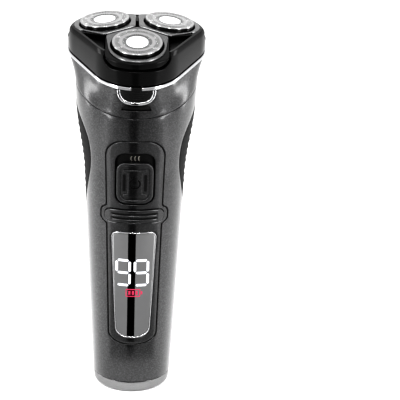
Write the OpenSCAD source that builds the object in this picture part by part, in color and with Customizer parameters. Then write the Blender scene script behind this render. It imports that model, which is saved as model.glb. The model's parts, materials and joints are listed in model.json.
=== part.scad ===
// Cordless rotary shaver: a round handle, a neck with a tilted top, and a flip-open head that
// carries three tilting pods, each with a slotted guard and a cutter driven through gears.
// Millimetres, +Z up, origin at the centre of the foot, the control panel faces -Y.

/* [Handle] */
// Height of the seam between the handle and the neck, at the front
handle_h = 132; // [105:1:165]
// Radius of the handle at its foot
foot_r = 17.5; // [16.5:0.1:21]
// Radius of the handle where the hand holds it
grip_r = 22.2; // [18.5:0.1:27]
// How much the handle widens again below the neck
neck_flare = 2.8; // [2:0.1:4]
// Wall of the handle's housings and of the neck
wall = 2.2; // [1.8:0.1:2.7]
// Height of the metal ring round the foot
foot_ring_h = 5.6; // [5.2:0.1:7]
// Thickness of the pieces that are let into the surface
inlay_t = 1.2; // [1:0.05:1.5]
// Clearance round each piece that is let into the surface
inlay_gap = 0.2; // [0.1:0.05:0.3]

/* [Control panel] */
// Half-width of the panel at its top
panel_w1 = 13; // [11:0.1:14.5]
// Half-width of the panel near its foot
panel_w0 = 11; // [10.6:0.1:13]
// Height of the display window
window_h = 51; // [44:0.5:54]
// Half-width of the display window at its top
window_w1 = 9.9; // [8:0.1:10.6]
// Half-width of the display window at its foot
window_w0 = 7.8; // [6.5:0.1:8.6]
// Width of the bezel round the display window
bezel_w = 0.7; // [0.5:0.05:1]
// Height of one lit numeral
digit_h = 13; // [10:0.5:14]
// Width of the slide button
switch_w = 16; // [13:0.5:17]
// Height of the slide button
switch_h = 18.6; // [15:0.5:19]
// Travel of the slide button
switch_travel = 3.5; // [2.5:0.1:3.8]

/* [Head] */
// Height of the guards' plane above the seam
neck_h = 35.3; // [34:0.1:40]
// How far the head's centre lies in front of the handle's axis
head_forward = 2.85; // [1:0.05:4]
// Forward tilt of the head, in degrees
head_tilt = 12.4; // [10:0.1:14]
// Distance from the head's centre to each guard's centre
pod_pitch_r = 16.4; // [15.8:0.1:19.7]
// Radius of each guard
guard_r = 10.65; // [8.8:0.05:10.8]
// Outward lean of each guard, in degrees
guard_tilt = 7; // [5:0.1:8]
// Gap between neighbouring pods
pod_gap = 1.56; // [1.4:0.01:2]
// Corner radius of the head's three-sided outline
outline_r = 20.3; // [19.8:0.1:22]
// Wall of the head frame
frame_wall = 1.6; // [1.2:0.1:2]

/* [Drive] */
// Teeth of the pinion on the motor shaft
pinion_teeth = 20; // [18:1:22]
// Teeth of each driven gear
gear_teeth = 26; // [24:1:28]
// Thickness of the gears
gear_t = 2.5; // [2:0.1:3]
// Radius of the motor can
motor_r = 9; // [7.5:0.1:9.5]
// Length of the motor can
motor_h = 25; // [20:0.5:27]
// Radius of the battery cell
cell_r = 7.1; // [6.5:0.1:7.4]
// Length of the battery cell
cell_h = 50; // [35:0.5:52]
// Clearance between a shaft and its bore
shaft_gap = 0.06; // [0.03:0.01:0.09]
// Clearance between pieces of one body that seat on each other
seat_gap = 0.1; // [0.05:0.01:0.15]

/* [Charging inlet] */
// Radius of each charging pin
pin_r = 1; // [0.9:0.05:1.15]
// Free length of each charging pin
pin_l = 4.2; // [3.5:0.1:4.6]
// Distance between the two charging pins
pin_pitch = 7.6; // [7.2:0.1:8]

/* [Hidden] */
$fn = 64;

big = 200;                                // larger than the whole shaver
tiny = 0.01;
pod_angle = [-90, 30, 150];               // the front pod, then the two at the back
paint = "#3b3b3e";
black = "#111113";
silver = "#c9cacc";
steel = "#b8babd";

// ---- the handle's surface -----------------------------------------------------------------
grip_z = handle_h * 0.76;
flare_z = handle_h - 29;
flare_h = 32;
seam_rise = 16;
seam_run = 47;
shell_z1 = handle_h + seam_rise + 2;
coupling_w = -6.9;                        // where a spindle meets its cutter
gear_pitch_r = pod_pitch_r + coupling_w * sin(guard_tilt);
// How far the driven gears reach from the head's centre; the neck widens to hold them.
gear_reach = gear_pitch_r * (1 + (gear_teeth + 1.9) / (pinion_teeth + gear_teeth));
plain_r = foot_r + (grip_r - foot_r) * pow(shell_z1 / grip_z, 0.85);
flare = max(neck_flare, gear_reach + wall - 0.4 - plain_r);
neck_r = grip_r + flare + 1.3;            // the radius at the front of the seam
function smooth(t) = let (s = min(1, max(0, t))) s * s * (3 - 2 * s);
function body_r(z) = foot_r + (grip_r - foot_r) * pow(max(z, 0) / grip_z, 0.85)
    + flare * smooth((z - flare_z) / flare_h);

// The seam rises from the front and levels off at the back.
function seam_z(y) = handle_h + seam_rise * sin(90 * min(1, max(0, (y + neck_r) / seam_run)));

module body_band(inner, outer, z0, z1, steps = 26) {
    levels = [for (i = [0:steps]) z0 + (z1 - z0) * i / steps];
    rotate_extrude($fn = 96)
        polygon(concat([for (z = levels) [body_r(z) + outer, z]],
                       [for (i = [steps:-1:0]) [body_r(levels[i]) + inner, levels[i]]]));
}

// A flat shape drawn as (x, z), pushed out of the front; one drawn as (y, z), pushed through.
module front_prism(depth = 40) { rotate([90, 0, 0]) linear_extrude(depth) children(); }
module side_prism() { rotate([90, 0, 90]) translate([0, 0, -big / 2]) linear_extrude(big) children(); }

// Everything below the seam, lowered by drop.
module seam_block(drop) {
    ys = concat([-60], [for (i = [0:16]) -neck_r + seam_run * i / 16], [60]);
    side_prism() polygon(concat([[60, -20], [-60, -20]], [for (y = ys) [y, seam_z(y) - drop]]));
}

// ---- the panel's outlines -----------------------------------------------------------------
// A tapered outline with elliptical corners: half-widths w0 and w1 at heights z0 and z1, corner
// radii as [across, up], drawn inset by d.
function tapered(z0, z1, w0, w1, c0, c1, d = 0) =
    let (a0 = w0 - d, a1 = w1 - d, k = 8,
         right = concat(
             [for (i = [0:k]) let (t = -90 + 90 * i / k)
                 [a0 - c0[0] + c0[0] * cos(t), z0 + d + c0[1] + c0[1] * sin(t)]],
             [for (i = [0:k]) let (t = 90 * i / k)
                 [a1 - c1[0] + c1[0] * cos(t), z1 - d - c1[1] + c1[1] * sin(t)]]))
    concat(right, [for (i = [len(right) - 1:-1:0]) [-right[i][0], right[i][1]]]);

panel_z1 = handle_h - 10;
panel_z0 = 25;
window_z0 = panel_z0 + 3.6;
window_z1 = window_z0 + window_h;
bar_h = 6;
bar_z = window_z1 + 4.6 + bar_h / 2;      // middle of the accent bar
bar_w = panel_w1 - 0.2;
bulge_w = panel_w1 + 1.9;
well_z0 = bar_z + bar_h / 2 + 2.4;
well_w = switch_w / 2 + 0.6;
well_h = switch_h + switch_travel + 1.6;

module panel_shape(d = 0) {
    polygon(tapered(panel_z0, panel_z1, panel_w0, panel_w1, [9.5, 5], [7.5, 7.5], d));
    translate([0, bar_z]) bulge_shape(d);
}
module bulge_shape(d) { slab(bulge_w - d, bar_h + 2.6 - 2 * d, 3); }
// A rectangle with round corners made only of circles and squares.
module slab(half_w, h, r) {
    square([2 * half_w, h - 2 * r], center = true);
    square([2 * (half_w - r), h], center = true);
    for (x = [-1, 1], z = [-1, 1]) translate([x * (half_w - r), z * (h / 2 - r)]) circle(r);
}
module bar_shape(d = 0) { translate([0, bar_z]) slab(bar_w - d, bar_h - 2 * d, 2.2); }
module window_shape(d = 0) {
    polygon(tapered(window_z0, window_z1, window_w0, window_w1, [6, 4.5], [2.6, 2.6], d));
}
module well_shape(d = 0) {
    translate([0, well_z0 + well_h / 2]) slab(well_w - d, well_h - 2 * d, 4.5);
}

// ---- the handle's housings ----------------------------------------------------------------
seam_gap = 0.15;
part_y = 3;                               // where the front and rear housings meet
grip_bulge_z = handle_h * 0.9;
grip_bulge_y = -13.2 * grip_r / 22.2;
housing_z0 = foot_ring_h + 0.2;

// Side view of the rubber grip, as (y, z): a bulge that reaches forward under the neck and a
// tail that runs down the back.
module grip_shape(d = 0) {
    tail = 12;
    steps = 24;
    z_low = handle_h * 0.16;
    z_high = handle_h + 2.5;
    edge = [for (i = [0:steps]) let (z = z_low + (z_high - z_low) * i / steps)
        [grip_edge(z) + d, z]];
    polygon(concat([[60, z_low + d]], [for (p = edge) [p[0], min(max(p[1], z_low + d), z_high - d)]],
                   [[60, z_high - d]]));
}
function grip_edge(z) =
    let (low = handle_h * 0.16, t = (z - low) / (grip_bulge_z - low),
         top = (z - grip_bulge_z) / (handle_h + 2.5 - grip_bulge_z))
    z < grip_bulge_z ? 17 - (17 - grip_bulge_y) * pow(smooth(t), 1.6)
                     : grip_bulge_y + 10 * pow(max(0, top), 2);

module housing_blank() {
    difference() {
        intersection() {
            body_band(-wall, 0, housing_z0, shell_z1);
            seam_block(seam_gap);
        }
        intersection() {
            front_prism() panel_shape(-inlay_gap);
            body_band(-inlay_t - seat_gap, 4, panel_z0 - 8, panel_z1 + 8);
        }
        front_prism() window_shape(bezel_w + 0.9);
        front_prism() well_shape(0.3);
        intersection() {
            side_prism() grip_shape(-inlay_gap);
            body_band(-inlay_t - seat_gap, 4, 4, shell_z1);
        }
    }
}
module front_housing() {
    color(paint) intersection() {
        housing_blank();
        translate([-big / 2, -big + part_y - seat_gap / 2, -10]) cube([big, big, big * 1.2]);
    }
}
module rear_housing() {
    color(paint) intersection() {
        housing_blank();
        translate([-big / 2, part_y + seat_gap / 2, -10]) cube([big, big, big * 1.2]);
    }
}
module rear_grip() {
    color(black) intersection() {
        side_prism() grip_shape();
        body_band(-inlay_t, 0.1, 4, shell_z1);
        seam_block(seam_gap);
    }
}

// ---- the foot -----------------------------------------------------------------------------
cap_r = foot_r - 2.4;
socket_l = pin_pitch + 7;                 // the inlet's recess: length, width and depth
socket_w = 7;
socket_h = 6.2;
socket_wall = 1;
pin_root_r = pin_r - 0.2;                 // the pins are thinner where the socket holds them

module foot_ring() {
    round_r = 2.2;
    color(silver) rotate_extrude($fn = 96) polygon(concat(
        [[cap_r + seat_gap, 0.35], [foot_r - round_r, 0.35]],
        [for (t = [-75:15:0]) [foot_r - round_r + round_r * cos(t), 0.35 + round_r + round_r * sin(t)]],
        [[body_r(foot_ring_h) - 0.1, foot_ring_h], [cap_r + seat_gap, foot_ring_h]]));
}
module socket_prism(grow, z0, z1) {
    l = socket_l + 2 * grow;
    w = socket_w + 2 * grow;
    translate([0, 0, z0]) linear_extrude(z1 - z0) {
        square([l - w, w], center = true);
        for (x = [-1, 1]) translate([x * (l - w) / 2, 0]) circle(w / 2);
    }
}
module foot_cap() {
    color(black) difference() {
        union() {
            cylinder(r = cap_r, h = foot_ring_h + 0.1);
            translate([0, 0, foot_ring_h + 0.3])
                cylinder(r = body_r(foot_ring_h) - wall - seat_gap - 0.1, h = 2.6);
            cylinder(r = cap_r - 1, h = foot_ring_h + 1);
        }
        socket_prism(socket_wall + seat_gap, -1, 20);
    }
}
module inlet_socket() {
    color("#1c1c1e") difference() {
        socket_prism(socket_wall, 0.2, socket_h + 4);
        socket_prism(0, -1, socket_h);
        for (x = [-1, 1]) translate([x * pin_pitch / 2, 0, 0]) cylinder(r = pin_root_r + seat_gap, h = 20);
    }
}
module charging_pins() {
    color(silver) for (x = [-1, 1]) translate([x * pin_pitch / 2, 0, socket_h - pin_l]) {
        cylinder(r = pin_r, h = pin_l - 0.02);
        translate([0, 0, pin_l - 0.1]) cylinder(r = pin_root_r, h = 7);
    }
}

// ---- panel and what is let into it --------------------------------------------------------
module control_panel() {
    color("#434346") difference() {
        intersection() {
            front_prism() panel_shape();
            body_band(-inlay_t, 0, panel_z0 - 5, panel_z1 + 5);
        }
        front_prism() bar_shape(-seat_gap);
        front_prism() window_shape(-seat_gap);
        front_prism() well_shape();
    }
}
module accent_bar() {
    groove = 0.5;
    color(silver) difference() {
        intersection() {
            front_prism() bar_shape();
            body_band(-inlay_t, 0.5, bar_z - 6, bar_z + 6, 4);
        }
        intersection() {
            front_prism() for (z = [-0.95, 0.95]) translate([0, bar_z + z])
                slab(bar_w - 3.6, groove, groove / 2 - tiny);
            body_band(0.1, 3, bar_z - 6, bar_z + 6, 4);
        }
    }
}
module lens_bezel() {
    color(silver) difference() {
        intersection() {
            front_prism() window_shape();
            body_band(-inlay_t, 0.15, window_z0 - 4, window_z1 + 4);
        }
        front_prism() window_shape(bezel_w);
    }
}
module lens_blank() {
    intersection() {
        front_prism() window_shape(bezel_w + seat_gap);
        body_band(-inlay_t, -0.05, window_z0 - 4, window_z1 + 4);
    }
}
digit_w = digit_h * 0.53;
digit_z = window_z0 + window_h * 0.62;    // middle of the numerals
lit_t = 0.4;
stroke = 1.5;
// The seven bars as [x0, z0, x1, z1] on a unit numeral, in the order a b c d e f g.
bars = [[0, 1, 1, 1], [1, 0.5, 1, 1], [1, 0, 1, 0.5], [0, 0, 1, 0], [0, 0, 0, 0.5],
        [0, 0.5, 0, 1], [0, 0.5, 1, 0.5]];
nine = [0, 1, 2, 3, 5, 6];
module bar_stroke(b) {
    w = digit_w - stroke;
    h = digit_h - stroke;
    flat = b[1] == b[3];
    trim = 0.22;
    cx = (b[0] + b[2]) / 2 * w - w / 2;
    cz = (b[1] + b[3]) / 2 * h - h / 2;
    half = (flat ? w : h / 2) / 2 - trim;
    s = stroke / 2;
    translate([cx, cz]) rotate(flat ? 0 : 90)
        polygon([[-half, 0], [-half + s, s], [half - s, s], [half, 0], [half - s, -s], [-half + s, -s]]);
}
module digits_shape() {
    lean = 0;
    for (x = [-1, 1]) translate([x * (digit_w / 2 + 0.6) - 0.5, digit_z])
        for (k = nine) multmatrix([[1, lean, 0, 0], [0, 1, 0, 0], [0, 0, 1, 0], [0, 0, 0, 1]])
            bar_stroke(bars[k]);
}
mark_z = digit_z - digit_h / 2 - 3.4;
module mark_shape() {
    translate([0, mark_z]) {
        difference() {
            square([6.6, 3.8], center = true);
            square([5.6, 2.8], center = true);
        }
        translate([3.75, 0]) square([0.7, 1.6], center = true);
        for (x = [-1, 0, 1]) translate([x * 1.6, 0]) square([1, 1.9], center = true);
    }
}
module display_lens() {
    color("#5d6064") difference() {
        lens_blank();
        intersection() {
            front_prism() { digits_shape(); mark_shape(); }
            body_band(-lit_t - 0.1, 2, window_z0, window_z1, 10);
        }
    }
}
module lit_digits() {
    color("white") intersection() {
        front_prism() digits_shape();
        body_band(-lit_t - 0.05, -0.02, window_z0, window_z1, 10);
    }
}
module battery_mark() {
    color("red") intersection() {
        front_prism() mark_shape();
        body_band(-lit_t - 0.05, -0.02, window_z0, window_z1, 10);
    }
}

// ---- slide switch -------------------------------------------------------------------------
switch_lean = atan((body_r(well_z0 + well_h) - body_r(well_z0)) / well_h);
switch_mid = well_z0 + well_h / 2;
switch_r = (body_r(well_z0) + body_r(well_z0 + well_h)) / 2;
button_z = well_z0 + 0.8 + switch_h / 2 - switch_mid;
button_top = 0.7;                         // how far the button stands out of the surface
button_back = 1.9;
well_floor = 2.2;
// The switch is built round a cylinder that follows the handle there.
module on_switch() {
    translate([0, -switch_r, switch_mid]) rotate([switch_lean, 0, 0]) translate([0, switch_r, 0]) children();
}
module ring_slice(r0, r1, h = 60) {
    difference() {
        translate([0, 0, -h / 2]) cylinder(r = r1, h = h, $fn = 96);
        translate([0, 0, -h]) cylinder(r = r0, h = 2 * h, $fn = 96);
    }
}
module power_button() {
    color("#232326") on_switch() difference() {
        intersection() {
            front_prism() translate([0, button_z]) slab(switch_w / 2, switch_h, 4);
            ring_slice(switch_r - button_back, switch_r + button_top);
        }
        intersection() {
            front_prism() translate([0, button_z]) slab(switch_w / 2 - 2.4, switch_h - 4.4, 2.6);
            ring_slice(switch_r + button_top - 0.5, switch_r + 5);
        }
    }
}
stem_w = 3;
stem_h = 6;
module switch_carrier() {
    color(black) on_switch() {
        translate([-stem_w / 2, -(switch_r - button_back - seat_gap), button_z - stem_h / 2])
            cube([stem_w, 3.2, stem_h]);
        translate([-4.5, -(switch_r - button_back - seat_gap - 3.2), button_z - 4]) cube([9, 1, 8]);
    }
}
module switch_well() {
    slot_z0 = button_z - stem_h / 2 - 0.4;
    color(black) difference() {
        intersection() {
            front_prism() well_shape(0.4);
            on_switch() ring_slice(switch_r - well_floor - 0.9, switch_r - well_floor);
        }
        on_switch() translate([-stem_w / 2 - 0.3, -40, slot_z0])
            cube([stem_w + 0.6, 40, stem_h + switch_travel + 0.8]);
    }
}
// A bent leaf that holds the carrier at either end of its travel.
module detent_spring() {
    y = -(switch_r - button_back - seat_gap - 3.2) + 1.5;
    color(steel) on_switch() translate([-2, y, button_z - 9]) {
        cube([4, 0.3, 20]);
        translate([0, 0, 0]) cube([4, 1.6, 0.3]);
        translate([0, 0, 19.7]) cube([4, 1.6, 0.3]);
    }
}

// ---- what is inside the handle ------------------------------------------------------------
board_y = -13.2;
board_z0 = 24;
board_z1 = well_z0 + 0.4;
module main_board() {
    color("#1f5f3a") translate([-8, board_y, board_z0]) cube([16, 1.2, board_z1 - board_z0]);
}
module display_board() {
    color(black) translate([-6.5, board_y - 1.7, window_z0 + 6]) cube([13, 1.6, window_h - 12]);
}
cell_z0 = 16;
cell_y = 3;
module battery_cell() {
    color("#2d6fb3") translate([0, cell_y, cell_z0]) {
        cylinder(r = cell_r, h = cell_h);
        translate([0, 0, cell_h]) cylinder(r = 2.4, h = 0.8);
    }
}
module battery_tabs() {
    color(silver) {
        translate([-2, board_y + 1.3, cell_z0 + cell_h + 0.9]) cube([4, cell_y - board_y + 1.7, 0.3]);
        translate([-2, board_y + 1.3, cell_z0 - 0.4]) cube([4, cell_y - board_y + 1.7, 0.3]);
    }
}
// A tray round the battery with a bulkhead at each end.
tray_r = cell_r + 1.6;
module chassis() {
    bulk_t = 1.6;
    color("#2a2a2d") {
        difference() {
            translate([0, cell_y, cell_z0 - 0.2]) cylinder(r = tray_r, h = cell_h);
            translate([0, cell_y, cell_z0 - 1]) cylinder(r = cell_r + 0.3, h = cell_h + 2);
            translate([-20, cell_y - 40, 0]) cube([40, 40, 100]);
        }
        for (z = [cell_z0 - 0.6 - bulk_t, cell_z0 + cell_h + 1.4]) difference() {
            translate([0, 0, z]) cylinder(r = body_r(z) - wall - 0.4, h = bulk_t);
            translate([-9, -30, z - 1]) cube([18, 30 + board_y + 2, 5]);
        }
    }
}

// ---- head coordinates ---------------------------------------------------------------------
// In the head's own frame: w = 0 is the plane of the guards, v points to the back.
head_z = handle_h + neck_h;
module on_head() { translate([0, -head_forward, head_z]) rotate([head_tilt, 0, 0]) children(); }
module on_spoke(i) { on_head() rotate(pod_angle[i]) children(); }
module on_pod(i) { on_spoke(i) translate([pod_pitch_r, 0, 0]) rotate([0, guard_tilt, 0]) children(); }
function head_point(u, v, w) =
    [u, -head_forward + v * cos(head_tilt) - w * sin(head_tilt),
     head_z + v * sin(head_tilt) + w * cos(head_tilt)];

// Three-sided outline with round corners, as a radius at direction a.
outline_c = 1.61 * pod_pitch_r - 14.904;  // grows with the gears, which follow the guards' pitch
function tri_r(a, c, r) =
    let (d = abs((a + 90 + 60 + 720) % 120 - 60), turn = d + asin(c * sin(d) / r))
    turn <= 60 ? c * cos(d) + sqrt(r * r - pow(c * sin(d), 2)) : (c / 2 + r) / cos(60 - d);

// ---- drive train --------------------------------------------------------------------------
gear_module = 2 * gear_pitch_r / (pinion_teeth + gear_teeth);
gear_w = -19.4;                           // underside of the gears
deck_w = gear_w - 3.1;
deck_t = 1.5;
axle_r = 1;
spindle_r = 2.4;
tip_r = 1.2;
tip_w = -5.9;
shoulder_w = -10;                         // the spindle narrows to its tip above this
cover_w = -15.9;
cover_t = 1.2;

function involute(a) = tan(a) - a * PI / 180;
// Outline of a spur gear: each flank is sampled from root to tip.
function gear_points(teeth, m) =
    let (rp = m * teeth / 2, rb = rp * cos(20), ra = rp + m * 0.95, rr = rp - 1.25 * m,
         half = 90 / teeth - 0.07 / rp * 180 / PI,
         radii = [rr, max(rb, rr + tiny), (rb + rp) / 2 + 0.1 * m, rp, (rp + ra) / 2, ra],
         spread = [for (r = radii) half + (involute(20) - involute(acos(min(1, rb / r)))) * 180 / PI])
    [for (k = [0:teeth - 1], j = [0:2 * len(radii) - 1])
        let (n = len(radii), q = j < n ? j : 2 * n - 1 - j, side = j < n ? -1 : 1,
             a = 360 * k / teeth + side * spread[q])
        radii[q] * [cos(a), sin(a)]];
// The turn that sets a driven gear's space on the pinion's tooth at direction a.
function mesh_turn(a) =
    let (p = 360 / pinion_teeth, ahead = p * ceil(a / p) - a)
    a + 180 - ahead * pinion_teeth / gear_teeth + 180 / gear_teeth;

module pinion() {
    color("#d8c27a") on_head() translate([0, 0, gear_w - 0.3]) difference() {
        linear_extrude(gear_t + 0.6) polygon(gear_points(pinion_teeth, gear_module));
        translate([0, 0, -1]) cylinder(r = axle_r + 0.02, h = 10);
    }
}
module motor_shaft() {
    color(steel) on_head() translate([0, 0, deck_w - 2.5]) cylinder(r = axle_r, h = gear_w + gear_t - deck_w + 2.5);
}
module motor_can() {
    can_top = deck_w - 0.8;
    color("#9fa3a8") on_head() {
        difference() {
            translate([0, 0, can_top - motor_h]) cylinder(r = motor_r, h = motor_h);
            translate([0, 0, can_top - 2.2]) cylinder(r = axle_r + shaft_gap, h = 5);
        }
        translate([0, 0, can_top - motor_h - 1.6]) cylinder(r = 3, h = 1.6);
    }
}
module gear_deck() {
    color("#e6e6e2") on_head() difference() {
        translate([0, 0, deck_w - 0.7]) cylinder(r = gear_pitch_r + 4, h = deck_t);
        translate([0, 0, deck_w - 5]) cylinder(r = 2.4, h = 20);
        for (a = pod_angle) rotate(a) translate([gear_pitch_r, 0, deck_w - 5]) cylinder(r = axle_r + 0.02, h = 20);
    }
}
module gear_axles() {
    color(steel) for (i = [0:2]) on_spoke(i) translate([gear_pitch_r, 0, deck_w - 0.7])
        cylinder(r = axle_r, h = -deck_w + 0.7 - 12);
}
module driven_gear(i) {
    color("#efefec") on_spoke(i) translate([gear_pitch_r, 0, gear_w]) difference() {
        rotate(mesh_turn(pod_angle[i]) - pod_angle[i]) linear_extrude(gear_t)
            polygon(gear_points(gear_teeth, gear_module));
        translate([0, 0, -1]) cylinder(r = axle_r + shaft_gap, h = 10);
    }
}
module drive_spindle(i) {
    base = gear_w + gear_t + 0.04;
    color("#d9d9d6") on_spoke(i) translate([gear_pitch_r, 0, 0]) difference() {
        union() {
            translate([0, 0, base]) cylinder(r = spindle_r, h = shoulder_w - base);
            translate([0, 0, shoulder_w - 0.1]) cylinder(r = tip_r, h = tip_w - shoulder_w + 0.1);
            for (a = [0, 120, 240]) rotate(a) translate([0.6, -0.3, shoulder_w - 0.1])
                cube([1.1, 0.6, tip_w - shoulder_w - 0.2]);
        }
        translate([0, 0, base - 1]) cylinder(r = axle_r + shaft_gap, h = -11.6 - base + 1);
    }
}
latch_half = 3;                           // the cover's opening for the latch and its tongue
latch_reach = 5;
cover_back = 4.2;                         // how far the cover's front edge stays behind the frame's
module gear_cover() {
    edge = 1.2;
    color("#202022") on_head() difference() {
        translate([0, 0, cover_w]) linear_extrude(cover_t) intersection() {
            cover_shape(outline_r - wall - edge);
            circle(outline_c + outline_r - cover_back);
        }
        for (a = pod_angle) rotate(a) translate([gear_pitch_r, 0, cover_w - 1]) cylinder(r = spindle_r + 0.35, h = 5);
        translate([-latch_half, cover_back - outline_c - outline_r - 1, cover_w - 1])
            cube([2 * latch_half, latch_reach + 1, 5]);
    }
}
module cover_shape(r) { polygon([for (a = [0:5:355]) tri_r(a, outline_c, r) * [cos(a), sin(a)]]); }
module spindle_seals() {
    color(black) for (i = [0:2]) on_spoke(i) translate([gear_pitch_r, 0, cover_w + cover_t + 0.02]) difference() {
        cylinder(r = spindle_r + 1.8, h = 0.8);
        translate([0, 0, -1]) cylinder(r = spindle_r + 0.25, h = 3);
    }
}

// ---- neck ---------------------------------------------------------------------------------
// Loops of points that share one count are joined into a closed tube wall.
loop_n = 96;
function ring_faces(rows) = [for (k = [0:rows - 1], i = [0:loop_n - 1], half = [0, 1])
    let (a = k * loop_n + i, b = k * loop_n + (i + 1) % loop_n,
         c = ((k + 1) % rows) * loop_n + i, d = ((k + 1) % rows) * loop_n + (i + 1) % loop_n)
    half == 0 ? [a, d, b] : [a, c, d]];
module tube(loops) { polyhedron(points = [for (l = loops, p = l) p], faces = ring_faces(len(loops))); }
// Makes one mesh of what it holds, for free-form walls that have no bores.
module blended() { resize([0, 0, 0]) children(); }

trim_y = 2.6;                             // centre of the trim's outline
trim_front_z = handle_h + 13.7;
trim_slope = 0.2725;
trim_t = 1.3;
function trim_z(y) = trim_front_z + trim_slope * (y + outline_c + outline_r - trim_y);
function trim_point(a, out, up) =
    let (r = tri_r(a, outline_c, outline_r) + out, y = trim_y + r * sin(a))
    [r * cos(a), y, trim_z(y) + up];
function seam_point(a, z = 0, n = 4) =
    let (zz = n == 4 ? handle_h + 6 : z, r = body_r(min(zz, shell_z1)))
    n == 0 ? [r * cos(a), r * sin(a), zz] : seam_point(a, seam_z(r * sin(a)), n - 1);
function inward(p, d) = let (r = norm([p[0], p[1]])) [p[0] * (r - d) / r, p[1] * (r - d) / r, p[2]];
// A point of the collar at direction a, s of the way up and d inside; both ends follow the seams.
function collar_point(a, s, d) =
    let (low = seam_point(a), top = trim_point(a, 0, -trim_t / 2 - seat_gap), f = pow(s, 1.4),
         p = [low[0] + (top[0] - low[0]) * f, low[1] + (top[1] - low[1]) * f,
              low[2] + seam_gap / 2 + (top[2] - low[2] - seam_gap / 2) * s],
         q = inward(p, d),
         lift = (1 - s) * (seam_z(q[1]) - seam_z(p[1])) + s * trim_slope * (q[1] - p[1]))
    [q[0], q[1], q[2] + lift];
function collar_loop(s, d) = [for (i = [0:loop_n - 1]) collar_point(i * 360 / loop_n, s, d)];

smile_w = 8.2;                            // the loop of trim round the release button
smile_h = 6.4;
smile_t = 1.3;
smile_z = trim_front_z - trim_t / 2;
front_y = -(outline_c + outline_r - trim_y);
// The lower half of a flattened oval, as (x, z), inset by d.
module smile_shape(d = 0) {
    w = smile_w - d;
    h = smile_h - d;
    polygon(concat([[w * 0.985, smile_z + trim_t - d * 0.6]],
        [for (t = [0:-10:-180]) [w * (abs(cos(t)) < tiny ? 0 : sign(cos(t)) * pow(abs(cos(t)), 0.75)),
                                 smile_z - h * pow(abs(sin(t)), 0.8)]],
        [[-w * 0.985, smile_z + trim_t - d * 0.6]]));
}
notch_z = smile_z - smile_h;              // the black recess under the loop
module notch_shape(d = 0) {
    polygon([[-5.2 + d, notch_z - d], [5.2 - d, notch_z - d], [6.3 - d, notch_z - 2.9 + d], [-6.3 + d, notch_z - 2.9 + d]]);
}
module front_slab(depth, reach) {
    translate([0, front_y + depth, 0]) rotate([90, 0, 0]) linear_extrude(reach) children();
}
module neck_collar() {
    steps = 7;
    color(paint) blended() difference() {
        tube(concat([for (k = [0:steps]) collar_loop(k / steps, 0)],
                    [for (k = [steps:-1:0]) collar_loop(k / steps, wall)]));
        front_slab(6, 12) smile_shape(-seat_gap);
        front_slab(1.6, 12) notch_shape();
        base_block(seat_gap);
    }
}
module chrome_trim() {
    h = trim_t / 2;
    deep = 1.7;
    gap_w = 2.3;
    color(silver) blended() {
        difference() {
            tube([for (c = [[-deep, -h], [0.1, -h], [0.35, 0], [0.1, h], [-deep, h]])
                [for (i = [0:loop_n - 1]) trim_point(i * 360 / loop_n, c[0], c[1])]]);
            translate([-gap_w, front_y - 5, 0]) cube([2 * gap_w, 12, big]);
            hinge_bar(-base_half - frame_gap, base_half + frame_gap, knuckle_r + frame_gap);
        }
        difference() {
            intersection() {
                front_slab(2.4, 6) smile_shape();
                tube([for (c = [[-1.5, 1.4], [0.5, 1.4], [0.5, 2.4], [-1.5, 2.4]])
                    [for (i = [0:loop_n - 1]) let (s = c[1] == 1.4 ? 0 : 1)
                        let (p = trim_point(i * 360 / loop_n, c[0], 0)) [p[0], p[1], s == 0 ? notch_z - 1 : p[2]]]]);
            }
            front_slab(6, 12) smile_shape(smile_t);
            front_slab(6, 12) translate([0, smile_z + trim_t / 2]) square([30, trim_t + 0.1], center = true);
        }
    }
}
release_travel = 1;
release_back = front_y + 1.2;             // rear face of the release button
tongue_y = release_back + release_travel + 0.2;
tongue_t = 0.8;                           // the head's tongue, which the latch holds
tongue_z = smile_z - 0.8;
catch_z = smile_z + 0.3;                  // underside of the latch's tip
catch_h = 0.8;
riser_y = tongue_y + tongue_t + 0.4;
riser_t = 0.8;
module release_button() {
    grip_w = 6.8;
    color(black) difference() {
        union() {
            difference() {
                front_slab(1.2, 1.6) smile_shape(smile_t + 0.25);
                translate([-smile_w, front_y - 5, smile_z - 0.15]) cube([2 * smile_w, 10, 10]);
            }
            front_slab(1.2, 1.1) translate([-1.8, smile_z - 0.8]) square([3.6, 0.8 + trim_t]);
        }
        for (z = [1.2:0.8:3.6])
            translate([-grip_w / 2, front_y - 0.8, smile_z - z - 0.15]) cube([grip_w, 0.6, 0.3]);
    }
}
module latch_slide() {
    base_y = release_back + 0.1;
    base_z = smile_z - 3.6;
    color(black) {
        translate([-4, base_y, base_z]) cube([8, riser_y + riser_t - base_y, 2]);
        translate([-2, riser_y, base_z]) cube([4, riser_t, catch_z + catch_h - base_z]);
        translate([-0.9, riser_y - 0.75, catch_z]) cube([1.8, 0.8, catch_h]);
    }
}
// A leaf behind the collar's wall that pushes the slide forward.
module latch_spring() {
    leaf_y = riser_y + riser_t + release_travel + 0.2;
    color(steel) translate([-1.5, leaf_y, smile_z - 8.5]) {
        cube([3, 0.3, 5.8]);
        cube([3, 1.5, 0.3]);
    }
}

// ---- hinge --------------------------------------------------------------------------------
hinge_y = trim_y + outline_c / 2 + outline_r + 1.7;
hinge_z = trim_z(hinge_y) + 0.6;
hinge_pin_r = 0.8;
knuckle_r = 1.7;
leaf_half = 3.8;                          // half-width of the head's knuckle
base_half = 9;                            // half-width across the neck's two knuckles
hinge_y1 = hinge_y + 1.3;                 // rear face of both leaves
pocket_y = hinge_y - 3.4;                 // how deep both leaves are let in
base_top = hinge_z - 2.3;
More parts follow.
